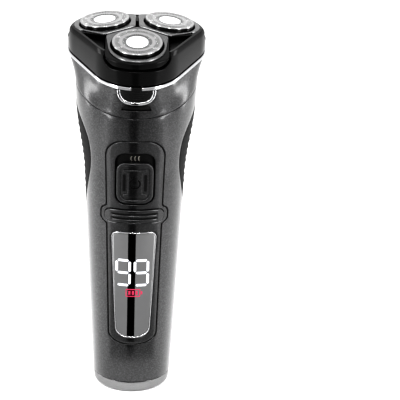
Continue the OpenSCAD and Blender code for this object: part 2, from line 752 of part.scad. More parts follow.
// A bar of the hinge, from x0 to x1, on the hinge's axis.
module hinge_bar(x0, x1, r) {
    translate([x0, hinge_y, hinge_z]) rotate([0, 90, 0]) cylinder(r = r, h = x1 - x0);
}
module leaf_block(half, z0, z1, grow = 0) {
    translate([-half - grow, pocket_y - grow, z0 - grow])
        cube([2 * (half + grow), hinge_y1 - pocket_y + 2 * grow, z1 - z0 + 2 * grow]);
}
module base_block(grow = 0) { leaf_block(base_half, hinge_z - 5.4, base_top, grow); }
module head_block(grow = 0) { leaf_block(leaf_half, hinge_z + 0.7, hinge_z + 3.8, grow); }
module hinge_pin() {
    color(steel) hinge_bar(-base_half - 0.6, base_half + 0.6, hinge_pin_r);
}
module hinge_base() {
    ear = leaf_half + 0.3;
    color(black) difference() {
        union() {
            base_block();
            for (x = [-base_half, ear]) {
                hinge_bar(x, x + base_half - ear, knuckle_r);
                translate([x, hinge_y, base_top - 0.1]) cube([base_half - ear, 1.3, hinge_z - base_top + 0.1]);
            }
        }
        hinge_bar(-20, 20, hinge_pin_r + 0.02);
    }
}
module hinge_leaf() {
    color(black) difference() {
        union() {
            head_block();
            hinge_bar(-leaf_half, leaf_half, knuckle_r);
            translate([-leaf_half, hinge_y, hinge_z]) cube([2 * leaf_half, 1.3, 1]);
        }
        hinge_bar(-20, 20, hinge_pin_r + shaft_gap);
    }
}

// ---- head frame and pod carrier -----------------------------------------------------------
rim_w = -0.5;                             // top of the frame between the pods
sill_w = -7.5;                            // bottom of each pod's notch
rear_w = -5.5;                            // the wall behind the rear pods is cut down to this
notch_half = 14;
rear_half = (outline_c + sqrt(outline_r * outline_r - notch_half * notch_half)) * cos(30)
    - notch_half / 2 + 1.5;
frame_gap = 0.3;
pod_half = notch_half - 0.7;
frame_c = outline_c;
// The frame's wall: from the trim's plane up to the rim, leaning in a little.
function frame_loop(s, d) = [for (i = [0:loop_n - 1]) let (a = i * 360 / loop_n)
    let (low = trim_point(a, -0.15, trim_t / 2 + frame_gap),
         r = tri_r(a, frame_c, outline_r) - 0.3,
         top = head_point(r * cos(a), r * sin(a), rim_w),
         p = [for (k = [0:2]) low[k] + (top[k] - low[k]) * s],
         q = inward(p, d))
    [q[0], q[1], q[2] + (1 - s) * trim_slope * (q[1] - p[1])]];
module notch_prism() {
    corner = 4.5;
    rotate([90, 0, 90]) translate([0, 0, 8]) linear_extrude(40) {
        translate([0, sill_w + corner + 25]) square([2 * notch_half, 50], center = true);
        translate([0, sill_w + corner]) square([2 * (notch_half - corner), 2 * corner], center = true);
        for (x = [-1, 1]) translate([x * (notch_half - corner), sill_w + corner]) circle(corner);
    }
}
module head_frame() {
    color(black) blended() difference() {
        tube(concat([frame_loop(0, 0), frame_loop(0.35, -0.1), frame_loop(0.7, -0.05), frame_loop(0.95, 0),
                     frame_loop(1, 0.4)],
                    [frame_loop(1, frame_wall - 0.3), frame_loop(0.95, frame_wall), frame_loop(0, frame_wall)]));
        for (i = [0:2]) on_spoke(i) notch_prism();
        on_head() translate([-rear_half, outline_c / 2 + outline_r - 6, rear_w])
            cube([2 * rear_half, 20, 20]);
        head_block(seat_gap);
    }
}
floor_w = -12.3;
floor_t = 1.4;
pivot_z = -6;                             // the pods' pivots, below the guards' plane
pivot_r = 0.8;
pivot_w = pivot_z * cos(guard_tilt);
pivot_s = pod_pitch_r + pivot_z * sin(guard_tilt);
block_top = -4.2;
tongue_top = head_point(0, tongue_y + head_forward, floor_w + floor_t / 2)[2];
carrier_r = outline_r - frame_wall - 2.2;
module pod_carrier() {
    color(black) difference() {
        translate([-2, tongue_y, tongue_z]) cube([4, tongue_t, tongue_top - tongue_z]);
        translate([-1.1, tongue_y - 1, catch_z - 0.2]) cube([2.2, 3, catch_h + 0.4]);
    }
    color(black) on_head() difference() {
        union() {
            translate([0, 0, floor_w]) linear_extrude(floor_t) cover_shape(carrier_r);
            for (a = pod_angle) rotate(a + 60) translate([0, 0, floor_w]) linear_extrude(block_top - floor_w)
                intersection() {
                    rotate(-60 - a) cover_shape(carrier_r);
                    wedge((notch_half) / cos(30) + 0.1);
                }
        }
        for (a = pod_angle) rotate(a) {
            translate([gear_pitch_r, 0, floor_w - 1]) cylinder(r = 5.4, h = 4);
            translate([pivot_s, 0, pivot_w]) rotate([90, 0, 0])
                translate([0, 0, -notch_half - 2.4]) cylinder(r = pivot_r + shaft_gap, h = 2 * notch_half + 4.8);
        }
    }
}
// An opening wedge of 120 degrees with its tip at distance s.
module wedge(s) { polygon([[s, 0], [s + 20, 20 * tan(60)], [s + 20, -20 * tan(60)]]); }

// ---- pods ---------------------------------------------------------------------------------
guard_top = 1.5;                          // the guards stand this far above the plates
plate_t = 0.8;
plate_hole_r = guard_r + 0.55;
plate_half = 12.2;
apex = pod_gap / 2 / sin(60) - pod_pitch_r;
shoulder_x = (plate_half + 1.2) / tan(60) + apex;
plate_arc_x = 1.5;
pod_top = -guard_top - plate_t - 0.02;
pod_low = -4.7;
pod_corner = 4.2;
pod_deep = -8.8;
front_reach = outline_c + outline_r - pod_pitch_r - 0.5;

// Plate outline: a wedge of 120 degrees towards the head's centre and an arc outside.
module plate_shape(d = 0) {
    polygon(concat([[apex + d / sin(60), 0], [shoulder_x, -plate_half - 1.2 + d]],
        [for (t = [-90:10:90]) [plate_arc_x + (plate_half - d) * cos(t), (plate_half - d) * sin(t)]],
        [[shoulder_x, plate_half + 1.2 - d]]));
}
// Pod outline: the same wedge, straight sides, and the head's own curve outside.
module pod_shape(d = 0, reach = front_reach) {
    intersection() {
        polygon([[apex + d / sin(60), 0], [(pod_half - d) / tan(60) + apex + d / sin(60) , -pod_half + d], [30, -pod_half + d],
                 [30, pod_half - d], [(pod_half - d) / tan(60) + apex + d / sin(60), pod_half - d]]);
        translate([outline_c - pod_pitch_r, 0]) circle(reach - outline_c + pod_pitch_r - d, $fn = 96);
    }
}
// Front view of a pod: straight sides and round lower corners, like the notch it sits in.
module pod_section() {
    translate([0, pod_low + pod_corner + 5]) square([2 * pod_half, 10], center = true);
    translate([0, pod_low + pod_corner]) square([2 * (pod_half - pod_corner), 2 * pod_corner], center = true);
    for (x = [-1, 1]) translate([x * (pod_half - pod_corner), pod_low + pod_corner]) circle(pod_corner);
}
pocket_r = guard_r + 0.6;
module pod_body(i) {
    color(black) on_pod(i) difference() {
        union() {
            intersection() {
                translate([0, 0, pod_low]) linear_extrude(pod_top - pod_low) pod_shape();
                rotate([90, 0, 90]) translate([0, 0, -30]) linear_extrude(60) pod_section();
            }
            translate([0, 0, pod_deep]) linear_extrude(pod_top - pod_deep - 0.5) pod_shape(0.6, front_reach - 1.9);
            translate([0, 0, pivot_z]) rotate([90, 0, 0])
                translate([0, 0, -pod_half - 1.9]) cylinder(r = pivot_r, h = 2 * pod_half + 3.8);
        }
        translate([0, 0, pod_deep - 1]) cylinder(r = pocket_r, h = 20);
    }
}
module pod_plate(i) {
    color(silver) on_pod(i) difference() {
        translate([0, 0, -guard_top - plate_t]) linear_extrude(plate_t) plate_shape();
        translate([0, 0, -5]) cylinder(r = plate_hole_r, h = 10);
    }
}

// ---- guards and cutters -------------------------------------------------------------------
guard_t = 0.45;
skirt_h = 3.4;
slot_n = 36;
cap_disc_r = 4.6;
float_travel = 0.7;
cutter_r = guard_r - guard_t - 0.7;
cutter_top = -guard_t - 0.2;
hub_r = 3.4;
hub_low = -8.2;
hub_bore_r = 2.35;
module slots(r0, r1, w) {
    for (k = [0:slot_n - 1]) rotate(360 * k / slot_n) translate([(r0 + r1) / 2, 0]) square([r1 - r0, w], center = true);
}
module guard(i) {
    color(silver) on_pod(i) {
        translate([0, 0, -guard_t]) linear_extrude(guard_t) difference() {
            circle(guard_r, $fn = 96);
            circle(cap_disc_r + seat_gap);
            slots(cap_disc_r + 0.7, guard_r - 3.05, 0.3);
            slots(guard_r - 2.25, guard_r - 0.85, 0.4);
        }
        translate([0, 0, -skirt_h]) rotate_extrude($fn = 96)
            translate([guard_r - guard_t, 0]) square([guard_t, skirt_h - guard_t]);
    }
}
module guard_cap(i) {
    color("#e8e8ea") on_pod(i) translate([0, 0, -guard_t]) {
        cylinder(r = cap_disc_r, h = guard_t + 0.25);
    }
}
module cutter(i) {
    color(steel) on_pod(i) difference() {
        union() {
            translate([0, 0, cutter_top - 1]) linear_extrude(1) difference() {
                circle(cutter_r, $fn = 96);
                for (k = [0:14]) rotate(24 * k) translate([hub_r + 1.4, 0]) rotate(25)
                    translate([0, -0.8]) square([cutter_r, 1.6]);
            }
            translate([0, 0, hub_low]) cylinder(r = hub_r, h = cutter_top - 0.5 - hub_low);
        }
        translate([0, 0, hub_low - 1]) cylinder(r = hub_bore_r, h = 4.6);
    }
}

// ---- output -------------------------------------------------------------------------------
front_housing();
rear_housing();
rear_grip();
foot_ring();
foot_cap();
inlet_socket();
charging_pins();
control_panel();
accent_bar();
switch_well();
power_button();
switch_carrier();
detent_spring();
display_lens();
lens_bezel();
lit_digits();
battery_mark();
display_board();
main_board();
battery_cell();
battery_tabs();
chassis();
motor_can();
motor_shaft();
pinion();
gear_deck();
gear_axles();
gear_cover();
spindle_seals();
neck_collar();
chrome_trim();
release_button();
latch_slide();
latch_spring();
hinge_pin();
hinge_base();
hinge_leaf();
head_frame();
pod_carrier();
for (i = [0:2]) {
    driven_gear(i);
    drive_spindle(i);
    pod_body(i);
    pod_plate(i);
    guard(i);
    guard_cap(i);
    cutter(i);
}
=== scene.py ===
import json
import math

import bmesh
import bpy
import numpy as np
from mathutils import Matrix, Vector
from mathutils.geometry import delaunay_2d_cdt

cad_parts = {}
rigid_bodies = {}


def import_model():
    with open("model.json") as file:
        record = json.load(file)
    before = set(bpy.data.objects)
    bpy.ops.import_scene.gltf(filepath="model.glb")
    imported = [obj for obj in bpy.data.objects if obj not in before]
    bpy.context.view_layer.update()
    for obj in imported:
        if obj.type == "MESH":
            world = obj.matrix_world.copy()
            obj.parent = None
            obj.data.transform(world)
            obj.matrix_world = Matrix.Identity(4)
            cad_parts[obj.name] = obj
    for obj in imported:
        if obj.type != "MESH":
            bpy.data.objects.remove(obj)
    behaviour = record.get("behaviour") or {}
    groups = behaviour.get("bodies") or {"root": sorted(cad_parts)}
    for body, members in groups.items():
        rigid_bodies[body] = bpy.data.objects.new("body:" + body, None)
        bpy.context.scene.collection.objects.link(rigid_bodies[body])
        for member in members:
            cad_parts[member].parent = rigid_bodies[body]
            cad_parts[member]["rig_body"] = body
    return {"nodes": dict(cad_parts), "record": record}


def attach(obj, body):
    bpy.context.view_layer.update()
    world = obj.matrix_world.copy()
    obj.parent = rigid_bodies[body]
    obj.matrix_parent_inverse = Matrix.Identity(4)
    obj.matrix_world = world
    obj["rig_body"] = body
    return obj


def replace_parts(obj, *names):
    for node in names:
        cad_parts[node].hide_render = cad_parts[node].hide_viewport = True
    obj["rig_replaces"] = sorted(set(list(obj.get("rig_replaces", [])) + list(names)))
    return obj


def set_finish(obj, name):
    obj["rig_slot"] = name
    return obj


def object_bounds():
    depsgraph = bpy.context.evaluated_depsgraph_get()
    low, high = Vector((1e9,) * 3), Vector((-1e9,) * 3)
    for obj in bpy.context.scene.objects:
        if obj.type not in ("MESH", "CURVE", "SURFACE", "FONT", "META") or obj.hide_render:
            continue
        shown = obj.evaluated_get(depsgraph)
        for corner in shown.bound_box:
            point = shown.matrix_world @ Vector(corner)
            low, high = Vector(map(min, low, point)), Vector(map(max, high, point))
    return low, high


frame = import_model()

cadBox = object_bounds()
mm = 0.001
wrapRadius = 22.0                      # outlines on the handle are drawn flat at this radius


def smooth(t):
    t = min(1.0, max(0.0, t))
    return t * t * (3 - 2 * t)


def newObject(name, data):
    made = bpy.data.objects.new(name, data)
    bpy.context.scene.collection.objects.link(made)
    return made


finishes = {
    "shell_paint": dict(base=(0.017, 0.017, 0.0175), metallic=0.95, rough=0.33, sparkle=2.2, grain=0.45,
                        bump=0.12, coat=0.9, coatRough=0.20),
    "panel_paint": dict(base=(0.015, 0.015, 0.0155), metallic=0.95, rough=0.36, sparkle=1.5, grain=0.40,
                        bump=0.12, coat=0.8, coatRough=0.14),
    "grip_rubber": dict(base=(0.005, 0.005, 0.005), rough=0.60, vary=0.25, grain=2.2, bump=0.22,
                        shine=0.12),
    "black_gloss": dict(base=(0.0025, 0.0025, 0.0025), rough=0.17, vary=0.10, grain=1.2, bump=0.015,
                        shine=0.10),
    "black_matte": dict(base=(0.004, 0.004, 0.004), rough=0.36, vary=0.20, grain=3.0, bump=0.10,
                        shine=0.16),
    "satin_silver": dict(base=(0.17, 0.17, 0.171), metallic=1.0, rough=0.27, vary=0.10, grain=5.0,
                         bump=0.06),
    "chrome_bright": dict(base=(0.58, 0.58, 0.59), metallic=1.0, rough=0.10, vary=0.05, grain=1.5,
                          bump=0.01),
    "foot_metal": dict(base=(0.20, 0.20, 0.20), metallic=1.0, rough=0.24, vary=0.35, brushed="round",
                       bump=0.12),
    "guard_steel": dict(base=(0.40, 0.40, 0.40), metallic=1.0, rough=0.20, vary=0.16, grain=4.0, bump=0.06),
    "cutter_steel": dict(base=(0.020, 0.020, 0.020), metallic=1.0, rough=0.40, vary=0.20, grain=3.0,
                         bump=0.10),
    "lens_dark": dict(base=(0.26, 0.26, 0.262), metallic=1.0, rough=0.03, vary=0.05, grain=0.25,
                      bump=0.003),
    "lit_white": dict(base=(0.52, 0.53, 0.56), rough=0.40, vary=0.04, grain=1.5, glow=0.12),
    "lit_red": dict(base=(0.30, 0.008, 0.045), rough=0.40, vary=0.35, grain=1.5, glow=0.12),
    "board_green": dict(base=(0.02, 0.14, 0.06), rough=0.35, vary=0.35, grain=0.8, bump=0.08),
    "cell_wrap": dict(base=(0.02, 0.13, 0.45), rough=0.28, vary=0.08, grain=0.6, bump=0.03, coat=0.3),
    "tab_nickel": dict(base=(0.60, 0.58, 0.52), metallic=1.0, rough=0.28, vary=0.15, grain=2.0, bump=0.05),
    "motor_steel": dict(base=(0.50, 0.50, 0.52), metallic=1.0, rough=0.32, vary=0.15, grain=1.5, bump=0.05),
    "spring_steel": dict(base=(0.50, 0.50, 0.50), metallic=1.0, rough=0.25, vary=0.15, grain=2.0,
                         bump=0.04),
    "pin_nickel": dict(base=(0.66, 0.60, 0.42), metallic=1.0, rough=0.22, vary=0.10, grain=2.0, bump=0.03),
    "pinion_brass": dict(base=(0.72, 0.55, 0.22), metallic=1.0, rough=0.25, vary=0.12, grain=2.0,
                         bump=0.04),
    "gear_white": dict(base=(0.74, 0.74, 0.70), rough=0.45, vary=0.06, grain=1.2, bump=0.04),
    "seal_rubber": dict(base=(0.010, 0.010, 0.010), rough=0.60, vary=0.20, grain=2.0, bump=0.10, shine=0.3),
    "discMetal": dict(base=(0.93, 0.93, 0.94), metallic=0.45, rough=0.22, vary=0.03, grain=3.0, bump=0.02),
    # a flat black for black parts, also used as painted shade on sheets laid in the panel's and the bar's
    # grooves
    "blackAndGrooveShade": dict(base=(0.003, 0.003, 0.003), rough=0.55, vary=0.20, grain=3.0, bump=0.05, shine=0.1),
}


def roundCoords(tree, source):
    # brushing that runs round the handle: fine across its height, long along its turn
    parts = tree.nodes.new("ShaderNodeSeparateXYZ")
    turn = tree.nodes.new("ShaderNodeMath")
    turn.operation = "ARCTAN2"
    joined = tree.nodes.new("ShaderNodeCombineXYZ")
    tree.links.new(source, parts.inputs[0])
    tree.links.new(parts.outputs["X"], turn.inputs[0])
    tree.links.new(parts.outputs["Y"], turn.inputs[1])
    tree.links.new(turn.outputs[0], joined.inputs["X"])
    tree.links.new(parts.outputs["Z"], joined.inputs["Z"])
    return joined.outputs[0]


def makeFinish(name, look):
    mat = bpy.data.materials.new(name)
    mat.use_nodes = True
    tree = mat.node_tree
    new, link = tree.nodes.new, tree.links.new
    shader = tree.nodes["Principled BSDF"]
    shader.inputs["Metallic"].default_value = look.get("metallic", 0.0)
    shader.inputs["Coat Weight"].default_value = look.get("coat", 0.0)
    shader.inputs["Coat Roughness"].default_value = look.get("coatRough", 0.08)
    shader.inputs["Specular IOR Level"].default_value = look.get("shine", 0.5)
    base = look["base"]
    vary = look.get("vary", 0.15)
    coords = new("ShaderNodeTexCoord")
    toMm = new("ShaderNodeMapping")
    toMm.inputs["Scale"].default_value = (1 / mm, 1 / mm, 1 / mm)
    link(coords.outputs["Object"], toMm.inputs["Vector"])
    place = toMm.outputs["Vector"]
    grain = new("ShaderNodeTexNoise")
    grain.inputs["Scale"].default_value = look.get("grain", 1.0)
    grain.inputs["Detail"].default_value = 4.0
    if look.get("brushed") == "round":
        place = roundCoords(tree, place)
        grain.inputs["Scale"].default_value = 6.0
    link(place, grain.inputs["Vector"])
    tone = new("ShaderNodeMix")
    tone.data_type = "RGBA"
    tone.inputs["A"].default_value = (*[c * (1 - vary) for c in base], 1)
    tone.inputs["B"].default_value = (*[min(1.0, c * (1 + vary)) for c in base], 1)
    link(grain.outputs["Fac"], tone.inputs["Factor"])
    colour = tone.outputs["Result"]
    if "sparkle" in look:                 # metal flakes in the lacquer
        flakes = new("ShaderNodeTexVoronoi")
        flakes.inputs["Scale"].default_value = 3.2
        link(place, flakes.inputs["Vector"])
        pick = new("ShaderNodeSeparateColor")
        link(flakes.outputs["Color"], pick.inputs[0])
        few = new("ShaderNodeMapRange")
        few.inputs["From Min"].default_value = 0.45
        few.inputs["From Max"].default_value = 1.0
        few.inputs["To Max"].default_value = 0.55
        link(pick.outputs[0], few.inputs["Value"])
        bright = new("ShaderNodeMix")
        bright.data_type = "RGBA"
        bright.inputs["B"].default_value = (*[c * (1 + 1.6 * look["sparkle"]) for c in base], 1)
        link(few.outputs[0], bright.inputs["Factor"])
        link(colour, bright.inputs["A"])
        colour = bright.outputs["Result"]
    link(colour, shader.inputs["Base Color"])
    wear = new("ShaderNodeMapRange")
    wear.inputs["To Min"].default_value = look["rough"] * (1 - 0.5 * vary)
    wear.inputs["To Max"].default_value = look["rough"] * (1 + 0.5 * vary)
    link(grain.outputs["Fac"], wear.inputs["Value"])
    link(wear.outputs[0], shader.inputs["Roughness"])
    if look.get("bump"):
        bump = new("ShaderNodeBump")
        bump.inputs["Strength"].default_value = look["bump"]
        bump.inputs["Distance"].default_value = 0.05 * mm
        link(grain.outputs["Fac"], bump.inputs["Height"])
        link(bump.outputs[0], shader.inputs["Normal"])
    if look.get("glow"):
        link(colour, shader.inputs["Emission Color"])
        shader.inputs["Emission Strength"].default_value = look["glow"]
    return mat


materials = {name: makeFinish(name, look) for name, look in finishes.items()}
slotOf = {part["node"]: part["material_slot"] for part in frame["record"]["subparts"]}
bodyOf = {n: body for body, names in frame["record"]["behaviour"]["bodies"].items() for n in names}
for nodeName, node in frame["nodes"].items():
    node.data.materials.clear()
    node.data.materials.append(materials[slotOf[nodeName]])
print("finishes ready:", len(materials))


def addPiece(name, verts, faces, node=None, slot=None, body=None, sharp=40, finish=None):
    # verts are in millimetres; the piece rides with the node it stands for
    mesh = bpy.data.meshes.new(name)
    mesh.from_pydata([Vector(v) * mm for v in verts], [], faces)
    work = bmesh.new()
    work.from_mesh(mesh)
    bmesh.ops.remove_doubles(work, verts=work.verts, dist=0.002 * mm)
    bmesh.ops.dissolve_degenerate(work, edges=work.edges, dist=0.0005 * mm)
    bmesh.ops.recalc_face_normals(work, faces=work.faces)
    work.to_mesh(mesh)
    work.free()
    mesh.shade_smooth()
    mesh.set_sharp_from_angle(angle=math.radians(sharp))
    piece = newObject(name, mesh)
    if node:
        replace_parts(piece, node)
        slot = slot or slotOf[node]
        body = body or bodyOf[node]
    mesh.materials.append(materials[finish or slot])
    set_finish(piece, slot)
    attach(piece, body)
    return piece


def areaOf(loop):
    return sum(a[0] * b[1] - b[0] * a[1] for a, b in zip(loop, loop[1:] + loop[:1])) / 2


def inset(loop, d):
    # moves each point to its left, which is inside an anticlockwise loop and outside a clockwise one
    moved = []
    for k, p in enumerate(loop):
        q, r = loop[k - 1], loop[(k + 1) % len(loop)]
        ax, ay, bx, by = p[0] - q[0], p[1] - q[1], r[0] - p[0], r[1] - p[1]
        la, lb = math.hypot(ax, ay) or 1, math.hypot(bx, by) or 1
        nx, ny = -(ay / la + by / lb), ax / la + bx / lb
        ln = math.hypot(nx, ny) or 1
        nx, ny = nx / ln, ny / ln
        cosHalf = max(0.5, nx * -ay / la + ny * ax / la)
        moved.append((p[0] + nx * d / cosHalf, p[1] + ny * d / cosHalf))
    return moved


def insideMask(points, loops):
    inside = np.zeros(len(points), bool)
    x, y = points[:, 0], points[:, 1]
    for loop in loops:
        a = np.array(loop)
        b = np.roll(a, -1, 0)
        for (x0, y0), (x1, y1) in zip(a, b):
            if y0 != y1:
                hit = ((y0 > y) != (y1 > y)) & (x < (x1 - x0) * (y - y0) / (y1 - y0) + x0)
                inside ^= hit
    return inside


def clearMask(points, loops, gap):
    clear = np.ones(len(points), bool)
    for loop in loops:
        a = np.array(loop)
        d = np.roll(a, -1, 0) - a
        for p0, dd in zip(a, d):
            near = np.abs(points[:, 0] - p0[0]) < gap + abs(dd[0])
            near &= np.abs(points[:, 1] - p0[1]) < gap + abs(dd[1])
            if near.any():
                w = points[near] - p0
                t = np.clip(w @ dd / max(dd @ dd, 1e-12), 0, 1)
                clear[near] &= np.hypot(*(w - t[:, None] * dd).T) > gap
    return clear


def fillRegion(loops, spacing, seeds=None):
    # triangles between the loops, with a regular grid of points (or the given ones) inside them
    du, dv = spacing
    rim = [p for loop in loops for p in loop]
    low, high = np.min(rim, 0), np.max(rim, 0)
    us = np.arange(math.floor(low[0] / du), math.ceil(high[0] / du) + 1) * du
    vs = np.arange(math.floor(low[1] / dv), math.ceil(high[1] / dv) + 1) * dv
    grid = np.array(seeds or [(u, v) for v in vs for u in us])
    grid = grid[insideMask(grid, loops)]
    if len(grid):
        grid = grid[clearMask(grid, loops, 0.45 * min(du, dv))]
    points = rim + [tuple(p) for p in grid]
    edges, start = [], 0
    for loop in loops:
        n = len(loop)
        edges += [(start + k, start + (k + 1) % n) for k in range(n)]
        start += n
    out, _, tris, origins, _, _ = delaunay_2d_cdt([Vector(p) for p in points], edges, [], 0, 1e-7)
    ids = [o[0] if o else None for o in origins]
    extra = len(points)
    for k, i in enumerate(ids):
        if i is None:                      # a point that the triangulation added
            points.append(tuple(out[k]))
            ids[k] = extra
            extra += 1
    centres = np.array([np.mean([out[i] for i in t], 0) for t in tris])
    keep = insideMask(centres, loops)
    return points, [tuple(ids[i] for i in t) for t, k in zip(tris, keep) if k]


def plate(name, wrap, outer, holes=(), recesses=(), top=0.0, depth=1.2, rounding=0.3, spacing=(1.2, 1.2),
          seam=None, steps=3, edge=None, seeds=None, **about):
    # A closed plate laid on a surface: wrap(u, v, h) gives the point h above the surface.
    # Outer runs anticlockwise, holes and blind recesses (loop, depth) are turned clockwise.
    outer = list(outer) if areaOf(list(outer)) > 0 else list(outer)[::-1]
    turned = [list(h) if areaOf(list(h)) < 0 else list(h)[::-1] for h in holes]
    blind = [(list(h) if areaOf(list(h)) < 0 else list(h)[::-1], deep) for h, deep in recesses]
    verts, faces = [], []

    def onSeam(p):
        return seam and (abs(p[0] - seam[0]) < 1e-6 or abs(p[0] - seam[1]) < 1e-6)

    def moveIn(loop, d):
        moved = inset(loop, d)
        for k, p in enumerate(loop):
            if onSeam(p):
                ends = [q for q in (loop[k - 1], loop[(k + 1) % len(loop)]) if not onSeam(q)]
                lift = 0 if not ends else (d if moved[k][1] > p[1] else -d)
                moved[k] = (p[0], p[1] + lift)
        return moved

    def rings(loop, bottom):
        r = edge if edge and loop is outer else rounding
        made = [(loop, -bottom), (loop, -r)]
        for k in range(1, steps + 1):
            t = math.pi / 2 * k / steps
            made.append((moveIn(loop, r * (1 - math.cos(t))), -r + r * math.sin(t)))
        return made

    def addLoop(loop, h):
        start = len(verts)
        verts.extend(wrap(u, v, top + h) for u, v in loop)
        return start

    def addFill(loops, h, starts):
        points, tris = fillRegion(loops, spacing, seeds)
        ids = []
        for loop, start in zip(loops, starts):
            ids += range(start, start + len(loop))
        for u, v in points[len(ids):]:
            ids.append(len(verts))
            verts.append(wrap(u, v, top + h))
        faces.extend(tuple(ids[i] for i in t) for t in tris)

    def addWall(loop, bottom):
        made = rings(loop, bottom)
        starts = [addLoop(*ring) for ring in made]
        n = len(loop)
        for a, b in zip(starts, starts[1:]):
            for k in range(n):
                m = (k + 1) % n
                if not (onSeam(loop[k]) and onSeam(loop[m])):
                    faces.append((a + k, a + m, b + m, b + k))
        return starts[0], starts[-1], made[-1][0]

    backs, fronts, frontLoops = [], [], []
    for loop in [outer, *turned]:
        back, front, frontLoop = addWall(loop, depth)
        backs.append(back)
        fronts.append(front)
        frontLoops.append(frontLoop)
    for loop, deep in blind:
        floor, front, frontLoop = addWall(loop, deep)
        fronts.append(front)
        frontLoops.append(frontLoop)
        addFill([loop], -deep, [floor])
    addFill(frontLoops, 0.0, fronts)
    addFill([outer, *turned], -depth, backs)
    return addPiece(name, verts, faces, **about)


def sweep(name, path, section, closed=False, **about):
    # path gives (point, across, up) for each station; section is a loop of (across, up)
    verts, faces = [], []
    n = len(section)
    for point, across, up in path:
        verts += [Vector(point) + Vector(across) * a + Vector(up) * b for a, b in section]
    count = len(path)
    for k in range(count if closed else count - 1):
        for j in range(n):
            a, b = k * n + j, k * n + (j + 1) % n
            c, d = (k + 1) % count * n + j, (k + 1) % count * n + (j + 1) % n
            faces.append((a, b, d, c))
    if not closed:
        faces += [tuple(range(n)), tuple((count - 1) * n + j for j in range(n))]
    return addPiece(name, verts, faces, **about)


def revolve(name, profile, turns=160, place=lambda p: p, **about):
    # profile is a closed loop of (radius, height)
    path = []
    for k in range(turns):
        a = 2 * math.pi * k / turns
        path.append([place((r * math.cos(a), r * math.sin(a), z)) for r, z in profile])
    verts = [p for ring in path for p in ring]
    n = len(profile)
    faces = [(k * n + j, k * n + (j + 1) % n, (k + 1) % turns * n + (j + 1) % n, (k + 1) % turns * n + j)
             for k in range(turns) for j in range(n)]
    return addPiece(name, verts, faces, **about)


def roundBox(cx, cy, halfW, halfH, r, corner=8, step=0.8):
    corners = [(halfW - r, -halfH + r, -90), (halfW - r, halfH - r, 0), (-halfW + r, halfH - r, 90),
               (-halfW + r, -halfH + r, 180)]
    loop = []
    for x, y, a0 in corners:
        loop += [(cx + x + r * math.cos(math.radians(a0 + 90 * k / corner)),
                  cy + y + r * math.sin(math.radians(a0 + 90 * k / corner))) for k in range(corner + 1)]
    return subdivide(loop, step)


def subdivide(loop, step):
    fine = []
    for a, b in zip(loop, loop[1:] + loop[:1]):
        n = max(1, math.ceil(math.hypot(b[0] - a[0], b[1] - a[1]) / step))
        fine += [(a[0] + (b[0] - a[0]) * k / n, a[1] + (b[1] - a[1]) * k / n) for k in range(n)]
    return fine


def evenPoints(loop, step):
    # the same loop with points an equal distance apart
    pts = loop + loop[:1]
    lengths = [0.0]
    for a, b in zip(pts, pts[1:]):
        lengths.append(lengths[-1] + math.hypot(b[0] - a[0], b[1] - a[1]))
    n = max(8, round(lengths[-1] / step))
    wanted = np.linspace(0, lengths[-1], n, endpoint=False)
    xs = np.interp(wanted, lengths, [p[0] for p in pts])
    ys = np.interp(wanted, lengths, [p[1] for p in pts])
    return list(zip(xs.tolist(), ys.tolist()))


def fromHalf(half, z0, z1, n=90):
    # a loop from a half-width that depends on the height
    zs = [z0 + (z1 - z0) * (1 - math.cos(math.pi * k / n)) / 2 for k in range(n + 1)]
    right = [(half(z), z) for z in zs]
    return right + [(-x, z) for x, z in reversed(right)]


handle = dict(height=132.0, footRadius=17.5, gripRadius=22.2, flare=2.8, wall=2.2, ringHeight=5.6,
              seamRise=16.0, seamRun=47.0, partY=3.0, seamGap=0.15)
gripTop = handle["height"] * 0.76
neckRadius = handle["gripRadius"] + handle["flare"] + 1.3


def bodyRadius(z):
    grow = (handle["gripRadius"] - handle["footRadius"]) * (max(z, 0) / gripTop) ** 0.85
    return handle["footRadius"] + grow + handle["flare"] * smooth((z - handle["height"] + 29) / 32)


def seamHeight(y):
    t = min(1, max(0, (y + neckRadius) / handle["seamRun"]))
    return handle["height"] + handle["seamRise"] * math.sin(math.pi / 2 * t)


def onHandle(u, z, h):
    # theta 0 is the front, which faces -Y
    theta, r = u / wrapRadius, bodyRadius(z) + h
    return (r * math.sin(theta), -r * math.cos(theta), z)


def flatToHandle(loop):
    return [(math.asin(max(-1, min(1, x / bodyRadius(z)))) * wrapRadius, z) for x, z in loop]


def seamAt(theta, gap):
    z = handle["height"] + 6
    for _ in range(8):
        z = seamHeight(-bodyRadius(z) * math.cos(theta)) - gap
    return z


grip = dict(low=handle["height"] * 0.16, high=handle["height"] + 2.5, bulgeZ=handle["height"] * 0.9,
            bulgeY=-13.2, gap=0.25, ribs=0.22, ribPitch=3.2)


def gripEdge(z):
    t = (z - grip["low"]) / (grip["bulgeZ"] - grip["low"])
    over = (z - grip["bulgeZ"]) / (grip["high"] - grip["bulgeZ"])
    if z < grip["bulgeZ"]:
        return 17 - (17 - grip["bulgeY"]) * smooth(t) ** 1.6
    return grip["bulgeY"] + 10 * max(0, over) ** 2


def gripTheta(z, gap=0.0):
    return math.acos(max(-1, min(1, -gripEdge(z) / bodyRadius(z)))) - gap / wrapRadius


def partTheta(z, side):
    return math.acos(-(handle["partY"] + side * 0.05) / bodyRadius(z))


